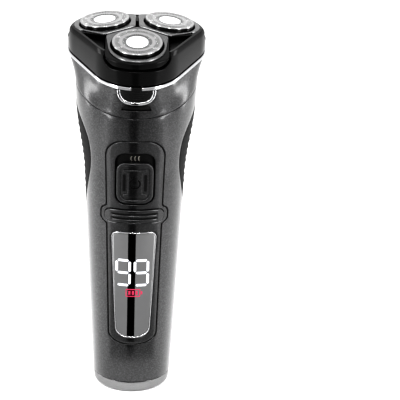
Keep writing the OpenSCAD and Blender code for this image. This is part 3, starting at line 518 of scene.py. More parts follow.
panel = dict(z0=25.0, z1=handle["height"] - 10, w0=11.0, w1=13.0, bulge=14.9, barZ=87.2, barH=6.0,
             groove=0.42, rounding=0.32, lowCorner=(9.5, 5), highCorner=(7.5, 7.5))
bar = dict(half=12.8, halfH=3, corner=2.6, top=0.62, rounding=0.45, grooveHalf=9.6, grooveHalfH=0.42,
           grooveCorner=0.36, grooveZ=(-1.0, 0.9), grooveDepth=0.4)
window = dict(z0=28.6, z1=79.6, w0=7.8, w1=9.9, bezel=0.34, lowCorner=(6, 4.5), highCorner=(2.6, 2.6))
well = dict(z=104.45, half=8.6, halfH=11.85, corner=4.5, floor=-1.25, arcPitch=1.7, arcWidth=0.85,
            arcHeight=1.2, arcStroke=0.32, arcDrop=2.6)


def taperHalf(z, shape, d):
    # half-width of a tapered outline drawn in by d; its elliptical corners are (across, up)
    z0, z1, w0, w1 = shape["z0"] + d, shape["z1"] - d, shape["w0"] - d, shape["w1"] - d
    low, high = shape["lowCorner"], shape["highCorner"]
    if z < z0 + low[1]:
        return w0 - low[0] + low[0] * math.sqrt(max(0, 1 - ((z - z0 - low[1]) / low[1]) ** 2))
    if z > z1 - high[1]:
        return w1 - high[0] + high[0] * math.sqrt(max(0, 1 - ((z - z1 + high[1]) / high[1]) ** 2))
    return w0 + (w1 - w0) * (z - z0 - low[1]) / (z1 - high[1] - z0 - low[1])


def panelHalf(z, d=0.0):
    side = taperHalf(z, panel, d)
    dz = abs(z - panel["barZ"])
    halfH = panel["barH"] / 2 + 1.3 - d
    if dz >= halfH + 1.6:
        return side
    bulge = panel["bulge"] - d - 3 + math.sqrt(max(0, 9 - max(0, min(dz, halfH) - halfH + 3) ** 2))
    return side + max(0, bulge - side) * smooth((halfH + 1.6 - dz) / 2.6)


def panelLoop(d=0.0):
    flat = fromHalf(lambda z: panelHalf(z, d), panel["z0"] + d, panel["z1"] - d, 220)
    return evenPoints(flatToHandle(flat), 0.7)


def windowLoop(d=0.0):
    flat = fromHalf(lambda z: taperHalf(z, window, d), window["z0"] + d, window["z1"] - d, 240)
    return evenPoints(flatToHandle(flat), 0.35)


def barLoop(d=0.0):
    corner = bar["corner"] - d * 0.6
    return flatToHandle(roundBox(0, panel["barZ"], bar["half"] - d, bar["halfH"] - d, corner))


def wellLoop(d=0.0):
    return flatToHandle(roundBox(0, well["z"], well["half"] - d, well["halfH"] - d, well["corner"] - d * 0.5))


def level(u0, u1, v, n):
    # the points of a level row, without its two ends
    return [(float(u), v) for u in np.linspace(u0, u1, n)][1:-1]


def mirrored(row, centre):
    # the same row on the other side of a centre line, run backwards
    return [(2 * centre - u, v) for u, v in reversed(row)]


def partRow(z0, z1, n, side):
    # the edge of a housing where the two shells meet
    return [(partTheta(z, side) * wrapRadius, float(z)) for z in np.linspace(z0, z1, n)]


def seamRow(u0, u1, n):
    # the upper edge of a housing, without its two ends
    return [(float(u), seamAt(u / wrapRadius, handle["seamGap"])) for u in np.linspace(u0, u1, n)][1:-1]


shell = dict(rounding=0.2, spacing=(1.1, 1.3), rearDepth=1.25, panelDepth=1.3, skinTop=-1.3, skinDepth=0.9)


def buildHousings():
    low = handle["ringHeight"] + 0.2
    gap = handle["seamGap"]
    zs = np.linspace(low, grip["high"], 130)
    right = [(min(partTheta(z, -1), gripTheta(z, grip["gap"])) * wrapRadius, float(z)) for z in zs]
    zSide = seamAt(partTheta(grip["high"] + 8, -1), gap)
    right += partRow(grip["high"] + grip["gap"], zSide, 12, -1)
    crown = seamRow(right[-1][0], -right[-1][0], 110)
    base = level(-right[0][0], right[0][0], low, 100)
    outer = base + right + crown + [(-u, v) for u, v in reversed(right)]
    plate("frontHousing", onHandle, outer, recesses=[(panelLoop(), shell["panelDepth"])],
          depth=handle["wall"], rounding=shell["rounding"], spacing=shell["spacing"], node="front_housing")
    # the rear shell: one patch under the grip's tail, one above the grip, and a skin behind the grip
    half = math.pi * wrapRadius
    zs = np.linspace(low, grip["high"], 150)
    edge = [(half - max(partTheta(z, 1), 0) * wrapRadius,
             half - gripTheta(z, grip["gap"]) * wrapRadius, float(z)) for z in zs]
    sideLine = [(half - part, z) for part, tail, z in edge if part > tail]
    tailLine = [(half - tail, z) for part, tail, z in edge if part > tail and z >= grip["low"] - grip["gap"]]
    base = level(2 * half - sideLine[0][0], sideLine[0][0], low, 90)
    under = level(tailLine[0][0], 2 * half - tailLine[0][0], grip["low"] - grip["gap"], 16)
    # seen from behind, u falls from left to right
    lower = ([(2 * half - u, z) for u, z in sideLine] + [(2 * half - u, z) for u, z in reversed(tailLine)]
             + under[::-1] + tailLine + sideLine[::-1] + base[::-1])
    zTop = grip["high"] + grip["gap"]
    side = partRow(zTop, seamAt(partTheta(zTop, 1), gap), 12, 1)
    crown = seamRow(side[-1][0], 2 * half - side[-1][0], 100)
    upper = side + crown + mirrored(side, half) + level(2 * half - side[0][0], side[0][0], zTop, 90)
    plate("rearHousing", onHandle, lower, depth=shell["rearDepth"], rounding=shell["rounding"],
          spacing=shell["spacing"], node="rear_housing")
    plate("rearHousingTop", onHandle, upper, depth=shell["rearDepth"], rounding=shell["rounding"],
          spacing=shell["spacing"], slot="shell_paint", body="handle")
    whole = partRow(low, side[-1][1], 90, 1)
    skin = whole + crown + mirrored(whole, half) + level(2 * half - whole[0][0], whole[0][0], low, 80)
    plate("rearHousingSkin", onHandle, skin, top=shell["skinTop"], depth=shell["skinDepth"], rounding=0.1,
          spacing=(2.2, 2.6), slot="shell_paint", body="handle")


def buildGrip():
    # soft ribs across the back fade out towards the grip's edges
    half = math.pi * wrapRadius

    def ribbed(u, z, h):
        edge = (half - abs(u - half)) / wrapRadius - gripTheta(z)
        fade = smooth(edge * wrapRadius / 5 - 0.6) * smooth((z - grip["low"] - 8) / 8) * smooth(
            (grip["high"] - 5 - z) / 6)
        wave = max(0, math.sin(2 * math.pi * (z - 0.12 * abs(u - half)) / grip["ribPitch"])) ** 0.7
        return onHandle(u, z, h + (grip["ribs"] * wave * fade - 0.05 if h > -0.5 else 0))

    zs = np.linspace(grip["low"], grip["high"], 150)
    side = [(gripTheta(z) * wrapRadius, float(z)) for z in zs]
    top = level(side[-1][0], 2 * half - side[-1][0], grip["high"], 90)
    low = level(2 * half - side[0][0], side[0][0], grip["low"], 20)
    loop = side + top + mirrored(side, half) + low
    plate("rearGrip", ribbed, loop, top=0.05, depth=1.2, rounding=0.35, spacing=(1.6, 0.4), node="rear_grip")


def buildPanel():
    plate("controlPanel", onHandle, panelLoop(panel["groove"]),
          holes=[barLoop(-0.15), windowLoop(-0.1), wellLoop()], depth=1.2, rounding=panel["rounding"],
          spacing=(0.8, 0.9), node="control_panel")
    # a black sheet under the groove round the panel: painted shade in the gap
    plate("panelGrooveShade", onHandle, panelLoop(0.03), holes=[panelLoop(panel["groove"] + 0.1)], top=-0.3,
          depth=0.5, rounding=0.05, spacing=(0.8, 0.9), slot="black_matte", body="handle",
          finish="blackAndGrooveShade")
    bars = [flatToHandle(roundBox(0, panel["barZ"] + z, bar["grooveHalf"], bar["grooveHalfH"],
                                  bar["grooveCorner"], step=0.5)) for z in bar["grooveZ"]]
    plate("accentBar", onHandle, barLoop(0.1), recesses=[(b, bar["grooveDepth"]) for b in bars],
          top=bar["top"], depth=1.7, rounding=bar["rounding"], spacing=(0.6, 0.5), steps=5,
          node="accent_bar", finish="panel_paint")
    # black sheets on the floors of the bar's two grooves: painted shade in them
    for k, b in enumerate(bars):
        plate(f"accentGrooveShade{k}", onHandle, evenPoints(inset(b, 0.03), 0.5), top=0.25, depth=0.15,
              rounding=0.03, spacing=(0.6, 0.5), slot="black_gloss", body="handle", finish="blackAndGrooveShade")
    plate("lensBezel", onHandle, windowLoop(0.0), holes=[windowLoop(window["bezel"])], top=0.12, depth=1.2,
          rounding=0.2, spacing=(0.4, 0.4), node="lens_bezel", slot="chrome_bright")
    plate("displayLens", onHandle, windowLoop(window["bezel"] + 0.05), top=-0.05, depth=1.1, rounding=0.1,
          spacing=(0.9, 0.9), node="display_lens")
    arcs = []
    for k in (-1, 0, 1):
        turns = [math.radians(t) for t in range(110, 251, 14)]
        bend = [(well["arcWidth"] * math.cos(t), well["arcHeight"] * math.sin(t)) for t in turns]
        arc = bend + [(x + well["arcStroke"], y) for x, y in reversed(bend)]
        x0, z0 = 0.4 + well["arcPitch"] * k, well["z"] + well["halfH"] - well["arcDrop"]
        arc = [(x0 + x, z0 + y) for x, y in arc]
        arcs.append(plate(f"wellArc{k}", onHandle, flatToHandle(arc), top=-1.19, depth=0.1, rounding=0.03,
                          spacing=(0.5, 0.5), slot="black_matte", body="handle", finish="tab_nickel"))
    join("wellArcs", arcs)
    plate("switchWell", onHandle, wellLoop(-0.3), top=well["floor"], depth=1.8, rounding=0.1,
          spacing=(1.2, 1.2), node="switch_well", finish="blackAndGrooveShade")


digits = dict(width=6.9, height=13.0, gap=1.2, stroke=1.15, z=60.4, shift=-0.5)
mark = dict(drop=3.2, half=3.3, halfH=1.9, line=0.45, bars=(-1.6, 0, 1.6), knobX=3.85)
lit = dict(top=0.03, depth=0.3, spacing=(0.5, 0.5), body="handle")


def segmentLoop(x0, z0, x1, z1):
    # one bar of a numeral with its ends drawn to blunt points
    flat = z0 == z1
    s, trim = digits["stroke"] / 2, 0.46
    length = abs(x1 - x0) if flat else abs(z1 - z0)
    half, cut = length / 2 - trim, s * 0.75
    pts = [(-half, -s * 0.25), (-half + cut, -s), (half - cut, -s), (half, -s * 0.25), (half, s * 0.25),
           (half - cut, s), (-half + cut, s), (-half, s * 0.25)]
    cx, cz = (x0 + x1) / 2, (z0 + z1) / 2
    return [(cx + a, cz + b) if flat else (cx - b, cz + a) for a, b in pts]


def buildDisplay():
    w, h = digits["width"] - digits["stroke"], digits["height"] - digits["stroke"]
    bars = {"a": (0, h, w, h), "b": (w, h / 2, w, h), "c": (w, 0, w, h / 2), "d": (0, 0, w, 0),
            "f": (0, h / 2, 0, h), "g": (0, h / 2, w, h / 2)}
    shapes = []
    for side in (-1, 1):
        cx = side * (digits["width"] + digits["gap"]) / 2 - w / 2 + digits["shift"]
        for name in "abcdfg":
            x0, z0, x1, z1 = bars[name]
            loop = segmentLoop(x0, z0, x1, z1)
            shapes.append([(cx + x, digits["z"] - h / 2 + z) for x, z in loop])
    strokes = [plate(f"digit{k}", onHandle, flatToHandle(subdivide(s, 0.8)), rounding=0.1, slot="lit_white",
                     **lit) for k, s in enumerate(shapes)]
    join("litDigits", strokes, node="lit_digits")
    z = digits["z"] - digits["height"] / 2 - mark["drop"]
    bits = [roundBox(x, z, 0.5, 0.95, 0.15, 3) for x in mark["bars"]]
    bits.append(roundBox(mark["knobX"], z, 0.32, 0.8, 0.15, 3))
    opening = roundBox(0, z, mark["half"] - mark["line"], mark["halfH"] - mark["line"], 0.25, 4)
    case = plate("markCase", onHandle, flatToHandle(roundBox(0, z, mark["half"], mark["halfH"], 0.5, 4)),
                 holes=[flatToHandle(opening)], rounding=0.08, slot="lit_red", **lit)
    inside = [plate(f"mark{k}", onHandle, flatToHandle(b), rounding=0.08, slot="lit_red", **lit)
              for k, b in enumerate(bits)]
    join("batteryMark", [case] + inside, node="battery_mark")


def join(name, pieces, node=None):
    # several small meshes of one finish and body become one piece
    work = bmesh.new()
    used = []
    for p in pieces:
        known = len(work.faces)
        work.from_mesh(p.data)
        work.faces.ensure_lookup_table()
        mat = p.data.materials[0]
        if mat not in used:
            used.append(mat)
        for face in work.faces[known:]:
            face.material_index = used.index(mat)
    mesh = bpy.data.meshes.new(name)
    work.to_mesh(mesh)
    work.free()
    first = pieces[0]
    slot, body = first["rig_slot"], first["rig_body"]
    replaced = sorted({n for p in pieces for n in p.get("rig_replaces", [])} | ({node} if node else set()))
    for p in pieces:
        bpy.data.objects.remove(p)
    for mat in used:
        mesh.materials.append(mat)
    piece = newObject(name, mesh)
    if replaced:
        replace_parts(piece, *replaced)
    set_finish(piece, slot)
    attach(piece, body)
    return piece


button = dict(half=8.0, halfH=9.3, corner=4.0, top=0.7, field=0.65, z0=93.4, fieldHalf=6.3, fieldHalfH=7.7,
              fieldCorner=2.9, trackStart=5.4, trackLength=23.7, ribX=4.7, spoolHalfH=6.2)
symbol = dict(radius=2.15, stroke=0.14, opening=80, lift=0.12, barZ=1.5)


def buildButton():
    z0 = panel["barZ"] + button["trackStart"]
    z1 = z0 + button["trackLength"]
    lean = math.atan((bodyRadius(z1) - bodyRadius(z0)) / (z1 - z0))
    radius, middle = (bodyRadius(z0) + bodyRadius(z1)) / 2, (z0 + z1) / 2
    cl, sl = math.cos(lean), math.sin(lean)

    def onSwitch(u, v, h):
        a, r = u / radius, radius + h
        y, z = -r * math.cos(a) + radius, v
        return (r * math.sin(a), y * cl - z * sl - radius, y * sl + z * cl + middle)

    cz = button["z0"] + button["halfH"] - middle

    def box(half, halfH, r, x=0.0, z=0.0, step=0.7):
        return roundBox(x, cz + z, half, halfH, r, 8, step)

    def spoolHalf(v):
        return 3.1 + 1.9 * smooth((abs(v - cz) - 4.6) / 0.7)

    spool = evenPoints(fromHalf(spoolHalf, cz - button["spoolHalfH"], cz + button["spoolHalfH"], 60), 0.4)
    cap = plate("powerButton", onSwitch, box(button["half"], button["halfH"], button["corner"]),
                recesses=[(box(button["fieldHalf"], button["fieldHalfH"], button["fieldCorner"]),
                           button["field"])], top=button["top"], depth=1.85, rounding=0.45,
                spacing=(0.7, 0.7), steps=5, node="power_button", finish="panel_paint")
    raised = plate("buttonSpool", onSwitch, spool, top=button["top"] + 0.05, depth=0.9, rounding=0.3,
                   spacing=(0.6, 0.6), steps=4, slot="black_gloss", body="slider", finish="panel_paint")
    ribs = [plate(f"buttonRib{side}", onSwitch, box(0.6, 3.8, 0.4, side * button["ribX"]),
                  top=button["top"] - 0.25, depth=0.5, rounding=0.2, spacing=(0.4, 0.6),
                  slot="black_gloss", body="slider", finish="blackAndGrooveShade") for side in (-1, 1)]
    join("powerButton", [cap, raised, *ribs])
    ring = []
    for k in range(33):                    # a ring that is open at the top
        a = math.radians(90 + symbol["opening"] / 2 + (360 - symbol["opening"]) * k / 32)
        ring.append((symbol["radius"] * math.cos(a), symbol["radius"] * math.sin(a)))
    wide, narrow = 1 + symbol["stroke"], 1 - symbol["stroke"]
    outer = [(x * wide, cz + y * wide) for x, y in ring]
    outer += [(x * narrow, cz + y * narrow) for x, y in reversed(ring)]
    loops = {"symbolRing": outer, "symbolBar": box(0.28, 1.25, 0.2, 0, symbol["barZ"])}
    signs = [plate(name, onSwitch, loop, top=button["top"] + symbol["lift"], depth=0.2, rounding=0.06,
                   spacing=(0.4, 0.4), slot="black_gloss", body="slider") for name, loop in loops.items()]
    join("powerSymbol", signs)


foot = dict(capGap=2.3, low=0.35, rounding=2.2)


def buildFoot():
    r, top = handle["footRadius"], handle["ringHeight"]
    inner, c = r - foot["capGap"], foot["rounding"]
    profile = [(inner, foot["low"]), (r - c, foot["low"])]
    profile += [(r - c + c * math.cos(math.radians(t)), foot["low"] + c + c * math.sin(math.radians(t)))
                for t in range(-80, 1, 8)]
    edge = bodyRadius(top) - 0.1
    profile += [(edge, top - 0.3), (edge - 0.09, top - 0.09), (edge - 0.3, top), (inner, top)]
    revolve("footRing", profile, turns=192, node="foot_ring", slot="foot_metal")


head = dict(forward=2.85, z=167.3, tilt=math.radians(12.4), podPitch=16.4, podLean=math.radians(7),
            outlineC=11.5, outlineR=20.3, podGap=1.56)
podAngles = [math.radians(a) for a in (-90, 30, 150)]


def headPoint(u, v, w):
    c, s = math.cos(head["tilt"]), math.sin(head["tilt"])
    return (u, -head["forward"] + v * c - w * s, head["z"] + v * s + w * c)


def toHead(p):
    c, s = math.cos(head["tilt"]), math.sin(head["tilt"])
    y, z = p[1] + head["forward"], p[2] - head["z"]
    return (p[0], y * c + z * s, -y * s + z * c)


def onPod(i):
    ca, sa = math.cos(podAngles[i]), math.sin(podAngles[i])
    cl, sl = math.cos(head["podLean"]), math.sin(head["podLean"])

    def wrap(x, y, z):
        out, w = head["podPitch"] + x * cl + z * sl, -x * sl + z * cl
        return headPoint(out * ca - y * sa, out * sa + y * ca, w)
    return wrap


def triRadius(a, c=head["outlineC"], r=head["outlineR"]):
    # radius of a three-sided outline with round corners, in direction a
    deg = math.degrees(a)
    d = math.radians(abs((deg + 90 + 60 + 720) % 120 - 60))
    turn = d + math.asin(c * math.sin(d) / r)
    if turn <= math.radians(60):
        return c * math.cos(d) + math.sqrt(r * r - (c * math.sin(d)) ** 2)
    return (c / 2 + r) / math.cos(math.radians(60) - d)


trim = dict(y=2.6, frontZ=handle["height"] + 13.7, slope=0.2725, height=1.3, proud=0.35, reach=1.7,
            gapHalf=2.3, loopProud=0.45)


def trimPoint(a, out, up):
    r = triRadius(a) + out
    y = trim["y"] + r * math.sin(a)
    z = trim["frontZ"] + trim["slope"] * (y + head["outlineC"] + head["outlineR"] - trim["y"]) + up
    return (r * math.cos(a), y, z)


smile = dict(half=8.2, drop=6.4, thick=1.3)
smileZ = trim["frontZ"] - trim["height"] / 2


def smileLoop(d=0.0, topCut=0.0):
    w, h = smile["half"] - d, smile["drop"] - d
    loop = []
    for k in range(49):
        t = math.pi * k / 48
        c, s = math.cos(t), math.sin(t)
        drop = h * abs(s) ** 0.8 if s > 1e-9 else 0
        loop.append((w * math.copysign(abs(c) ** 0.75, c), smileZ - drop))
    top = smileZ + trim["height"] - d * 0.6 - topCut
    loop = [(w * 0.985, top)] + loop + [(-w * 0.985, top)]
    return loop[::-1]


def inward(p, d):
    r = math.hypot(p[0], p[1])
    return (p[0] * (r - d) / r, p[1] * (r - d) / r, p[2])


def seamPoint(a):
    z = handle["height"] + 6
    for _ in range(6):
        z = seamHeight(bodyRadius(z) * math.sin(a))
    r = bodyRadius(z)
    return (r * math.cos(a), r * math.sin(a), z)


collar = dict(turnU=27.0, riseV=16.0, start=math.radians(60))
notchShape = dict(recess=[(-5.3, -0.15), (5.3, -0.15), (6.4, -3.0), (-6.4, -3.0)], depth=1.2,
                  lip=[(-4.0, -0.2), (4.0, -0.2), (3.6, -1.4), (-3.6, -1.4)])


def cached(fn):
    known = {}

    def look(a):
        key = round(a, 7)
        if key not in known:
            known[key] = fn(a)
        return known[key]
    return look


collarEnds = cached(lambda a: (seamPoint(a), trimPoint(a, 0, -trim["height"] / 2 - 0.1)))


def onCollar(u, v, h):
    a, s = collar["start"] + u / collar["turnU"], v / collar["riseV"]
    low, top = collarEnds(a)
    f = max(0.0, s) ** 1.4
    lowZ = low[2] + handle["seamGap"] / 2
    p = (low[0] + (top[0] - low[0]) * f, low[1] + (top[1] - low[1]) * f, lowZ + (top[2] - lowZ) * s)
    q = inward(p, -h)
    lift = (1 - s) * (seamHeight(q[1]) - seamHeight(p[1])) + s * trim["slope"] * (q[1] - p[1])
    return (q[0], q[1], q[2] + lift)


def solve(wrap, target, guess, size):
    # the flat (u, v) where the surface has the wanted pair of coordinates
    u, v = guess
    step = 1e-3
    for _ in range(30):
        f = size(wrap(u, v, 0))
        e = (f[0] - target[0], f[1] - target[1])
        if abs(e[0]) + abs(e[1]) < 1e-6:
            break
        fu, fv = size(wrap(u + step, v, 0)), size(wrap(u, v + step, 0))
        slopes = np.array([[(fu[k] - f[k]) / step, (fv[k] - f[k]) / step] for k in range(2)])
        du, dv = np.linalg.solve(slopes, e)
        u, v = u - float(np.clip(du, -3, 3)), v - float(np.clip(dv, -3, 3))
    return (u, v)


def buildCollar():
    length = 2 * math.pi * collar["turnU"]
    n = 210
    us = [length * k / n for k in range(n + 1)]
    vs = [collar["riseV"] * k / 12 for k in range(13)]
    front = (math.radians(270) - collar["start"]) * collar["turnU"]

    def flat(p):
        return (p[0], p[2])

    def marked(loop, guessV):
        # a loop of (x, z) laid on the front of the collar
        return [solve(onCollar, (x, z), (front + x, guessV), flat) for x, z in loop]

    # the loop's opening cuts the collar's top edge, so the outline runs down round it
    lip = marked([(x, z) for x, z in smileLoop(-0.15) if z < smileZ - 0.15], 8.0)
    lip = [p for p in lip if p[1] < collar["riseV"] - 0.2]
    lip.sort(key=lambda p: p[0])
    topRow = [(u, collar["riseV"]) for u in us[1:] if not lip[0][0] - 0.3 < u < lip[-1][0] + 0.3]
    left = [p for p in topRow if p[0] < front]
    right = [p for p in topRow if p[0] > front]
    leftEnd, rightStart = (lip[0][0], collar["riseV"]), (lip[-1][0], collar["riseV"])
    outer = ([(u, 0.0) for u in us[:-1]] + [(length, v) for v in vs[:-1]] + right[::-1] + [rightStart]
             + lip[::-1] + [leftEnd] + left[::-1] + [(0.0, v) for v in reversed(vs[1:])])
    notchZ = smileZ - smile["drop"]
    notch = subdivide(notchShape["recess"][::-1], 0.8)
    small = subdivide(notchShape["lip"][::-1], 0.8)
    recess = marked([(x, notchZ + z) for x, z in notch], 6.0)
    plate("neckCollar", onCollar, outer, recesses=[(recess, notchShape["depth"])], depth=handle["wall"],
          rounding=0.22, spacing=(1.3, 1.3), seam=(0.0, length), node="neck_collar")
    # the pad is a little smaller than its recess; the search starts from the recess's own points. The black
    # pad is painted shade in the notch.
    inner = [solve(onCollar, (x * 0.93, notchZ + z * 0.86 - 0.15), (front + x, 6.0), flat) for x, z in notch]
    plate("notchShadePad", onCollar, inner, top=-0.45, depth=0.7, rounding=0.2, spacing=(0.8, 0.8),
          slot="black_matte", body="handle")
    # the black lip at the top of the notch is painted shade under the release loop
    plate("notchLipShade", onCollar, marked([(x, notchZ + z) for x, z in small], 6.0), top=-0.2, depth=0.4,
          rounding=0.15, spacing=(0.8, 0.6), slot="black_gloss", body="handle")


def roundSection(a0, a1, b0, b1, r, k=4):
    # a rectangle with round corners as a loop of (across, up)
    loop = []
    corners = ((a1 - r, b0 + r, -90), (a1 - r, b1 - r, 0), (a0 + r, b1 - r, 90), (a0 + r, b0 + r, 180))
    for cx, cy, start in corners:
        loop += [(cx + r * math.cos(math.radians(start + 90 * j / k)),
                  cy + r * math.sin(math.radians(start + 90 * j / k))) for j in range(k + 1)]
    return loop


def outlineFront(x):
    # how far forward the neck's outline stands at x
    return trim["y"] - head["outlineC"] - math.sqrt(head["outlineR"] ** 2 - x * x)


def buildTrim():
    turn = math.asin(trim["gapHalf"] / (head["outlineC"] + head["outlineR"]))
    h = trim["height"] / 2
    section = roundSection(-trim["reach"], trim["proud"], -h, h, 0.3)
    path = []
    for k in range(301):
        a = math.radians(-90) + turn + (2 * math.pi - 2 * turn) * k / 300
        p, q = Vector(trimPoint(a, 0, 0)), Vector(trimPoint(a, 1, 0))
        path.append((p, q - p, (0, 0, 1)))
    band = sweep("chromeTrim", path, section, node="chrome_trim")
    # the loop round the release button
    w, drop = smile["half"] - smile["thick"] / 2, smile["drop"] - smile["thick"] / 2
    path = []
    steps = 72
    line = []
    for k in range(steps + 1):
        t = math.pi * k / steps
        c, s = math.cos(t), math.sin(t)
        x = w * math.copysign(abs(c) ** 0.75, c) if k != steps // 2 else 0.0
        line.append((x, smileZ + 0.2 - drop * s ** 0.8))
    line = line[::-1]
    for k, (x, z) in enumerate(line):
        a, b = line[max(0, k - 1)], line[min(steps, k + 1)]
        tx, tz = b[0] - a[0], b[1] - a[1]
        ln = math.hypot(tx, tz)
        path.append(((x, outlineFront(x), z), (0, -1, 0), (-tz / ln, 0, tx / ln)))
    t = smile["thick"] / 2
    section = roundSection(-trim["reach"], trim["loopProud"], -t, t, 0.35)
    loop = sweep("trimLoop", path, section, slot="chrome_bright", body="handle")
    join("chromeTrim", [band, loop])


release = dict(ribs=4, ribTop=1.15, ribPitch=0.85, ribHalf=4.4)


def buildRelease():
    def onFront(u, v, h):
        return (u, outlineFront(u) - h, v)

    loop = [(x, min(z, smileZ - 0.2)) for x, z in smileLoop(smile["thick"] + 0.2)]
    pad = plate("releaseButton", onFront, evenPoints(loop, 0.45), top=-0.1, depth=0.95, rounding=0.25,
                spacing=(0.6, 0.6), node="release_button", slot="black_matte")
    clip = plate("releaseClip", onFront, roundBox(0, smileZ + 0.25, 1.95, 1.0, 0.2, 3, 0.5), top=0.2,
                 depth=1.2, rounding=0.18, spacing=(0.5, 0.5), slot="black_matte", body="release")
    pieces = [pad, clip]
    for k in range(release["ribs"]):       # the ribs grow shorter downwards
        z, half = smileZ - release["ribTop"] - release["ribPitch"] * k, release["ribHalf"] - 0.35 * k
        pieces.append(plate(f"releaseRib{k}", onFront, roundBox(0, z, half, 0.22, 0.2, 3, 0.6), top=0.12,
                            depth=0.4, rounding=0.12, spacing=(0.5, 0.4), slot="black_matte",
                            body="release"))
    join("releaseButton", pieces)


frameShape = dict(turnU=28.0, riseV=15.0, start=math.radians(90), gap=0.3, rim=-0.5, sill=-7.5, half=14.0,
                  rear=-5.5, corner=4.5, wall=1.6, rounding=0.45)

frameEnds = cached(lambda a: (
    trimPoint(a, -0.15, trim["height"] / 2 + frameShape["gap"]),
    headPoint((triRadius(a) - 0.3) * math.cos(a), (triRadius(a) - 0.3) * math.sin(a), frameShape["rim"])))


def onFrame(u, v, h):
    a, s = frameShape["start"] + u / frameShape["turnU"], v / frameShape["riseV"]
    low, top = frameEnds(a)
    p = tuple(low[k] + (top[k] - low[k]) * s for k in range(3))
    bulge = 0.15 * math.sin(math.pi * min(1, max(0, s))) - 0.55 * smooth((s - 0.8) / 0.2) ** 2
    q = inward(p, -h - bulge)
    return (q[0], q[1], q[2] + (1 - s) * trim["slope"] * (q[1] - p[1]))


def buildFrame():
    f = frameShape
    length = 2 * math.pi * f["turnU"]

    def notchPath():
        # (across, up) from one top corner of a notch, down and round its sill, to the other
        path = [(-f["half"], w) for w in np.linspace(-0.9, f["sill"] + f["corner"], 6)]
        for k in range(1, 13):
            t = math.pi / 2 * k / 12
            path.append((-f["half"] + f["corner"] - f["corner"] * math.cos(t),
                         f["sill"] + f["corner"] - f["corner"] * math.sin(t)))
        mid = [(float(x), f["sill"]) for x in np.linspace(path[-1][0], -path[-1][0], 26)][1:-1]
        return path + mid + [(-x, w) for x, w in reversed(path)]

    def across(p):
        x, _, w = toHead(p)
        return (x, w)

    paths = []
    for i in (2, 0, 1):
        angle = podAngles[i]
        ca, sa = math.cos(angle), math.sin(angle)
        centre = (angle - f["start"]) % (2 * math.pi) * f["turnU"]

        def spoke(p):
            x, y, w = toHead(p)
            return (-x * sa + y * ca, w)
        side = {2: -1, 0: 0, 1: 1}[i]      # the side of the notch that meets the low rear wall
        kept = [(y, w) for y, w in notchPath() if y * side <= 0 or w < f["rear"]]
        paths.append([solve(onFrame, (y, w), (centre + y * 0.9, 12.0), spoke) for y, w in kept])

    def rearRow(u0, u1):
        # the low wall, as even steps across the back
        x0, x1 = (across(onFrame(u, f["riseV"] / 2, 0))[0] for u in (u0, u1))
        count = max(4, round(abs(u1 - u0)))
        steps = [x0 + (x1 - x0) * k / count for k in range(count + 1)]
        return [solve(onFrame, (x, f["rear"]), (u0 + (u1 - u0) * k / count, 8.0), across)
                for k, x in enumerate(steps)]

    first, last = rearRow(0.0, paths[0][0][0]), rearRow(paths[2][-1][0], length)
    rearV = first[0][1]
    first[0], last[-1] = (0.0, rearV), (length, rearV)
    row = first[:-1]
    for k, path in enumerate(paths):
        row += path
        if k < 2:
            u0, u1 = path[-1][0], paths[k + 1][0][0]
            count = max(2, round(u1 - u0))
            row += [(u0 + (u1 - u0) * m / count, f["riseV"]) for m in range(count + 1)]
    row += last[1:]
    n = 190
    vs = [rearV * k / 8 for k in range(9)]
    bottom = [(length * k / n, 0.0) for k in range(n)]
    outer = bottom + [(length, v) for v in vs[:-1]] + row[::-1] + [(0.0, v) for v in reversed(vs[1:-1])]
    plate("headFrame", onFrame, outer, depth=f["wall"], rounding=f["rounding"], spacing=(1.1, 1.1),
          seam=(0.0, length), steps=5, node="head_frame")


pod = dict(half=13.3, low=-4.7, corner=4.2, top=-2.2, reach=14.9, hole=11.3, plateTop=-1.5, plateHalf=12.2,
           plateDepth=1.15, plateHole=11.25, plateLip=0.5, drumInner=11.25, drumOuter=12.4, drumLow=-8.8,
           drumTop=-4.0)
# a track of slots is (count, from radius, to radius, half a slot's width)
guard = dict(radius=10.65, disc=4.6, skirt=3.3, depth=0.42, rim=0.28,
             tracks=((44, 4.95, 6.3, 0.22), (80, 7.7, 9.6, 0.13)))
apexX = head["podGap"] / 2 / math.sin(math.radians(60)) - head["podPitch"]


def circleLoop(r, n=96, x=0.0, y=0.0):
    return [(x + r * math.cos(2 * math.pi * k / n), y + r * math.sin(2 * math.pi * k / n)) for k in range(n)]


def wedgeLoop(halfW, outerArc, cut):
    # a wedge of 120 degrees towards the head's centre, straight sides, and an arc outside
    side = halfW / math.tan(math.radians(60)) + apexX
    arc = outerArc()
    loop = [(apexX, 0.0), (side, -halfW)] + arc + [(side, halfW)]
    fine = evenPoints(subdivide(loop, 0.5), 0.5)
    for _ in range(cut):                  # soften the corners a little
        fine = [((a[0] + 2 * b[0] + c[0]) / 4, (a[1] + 2 * b[1] + c[1]) / 4)
                for a, b, c in zip(fine[-1:] + fine[:-1], fine, fine[1:] + fine[:1])]
    return fine


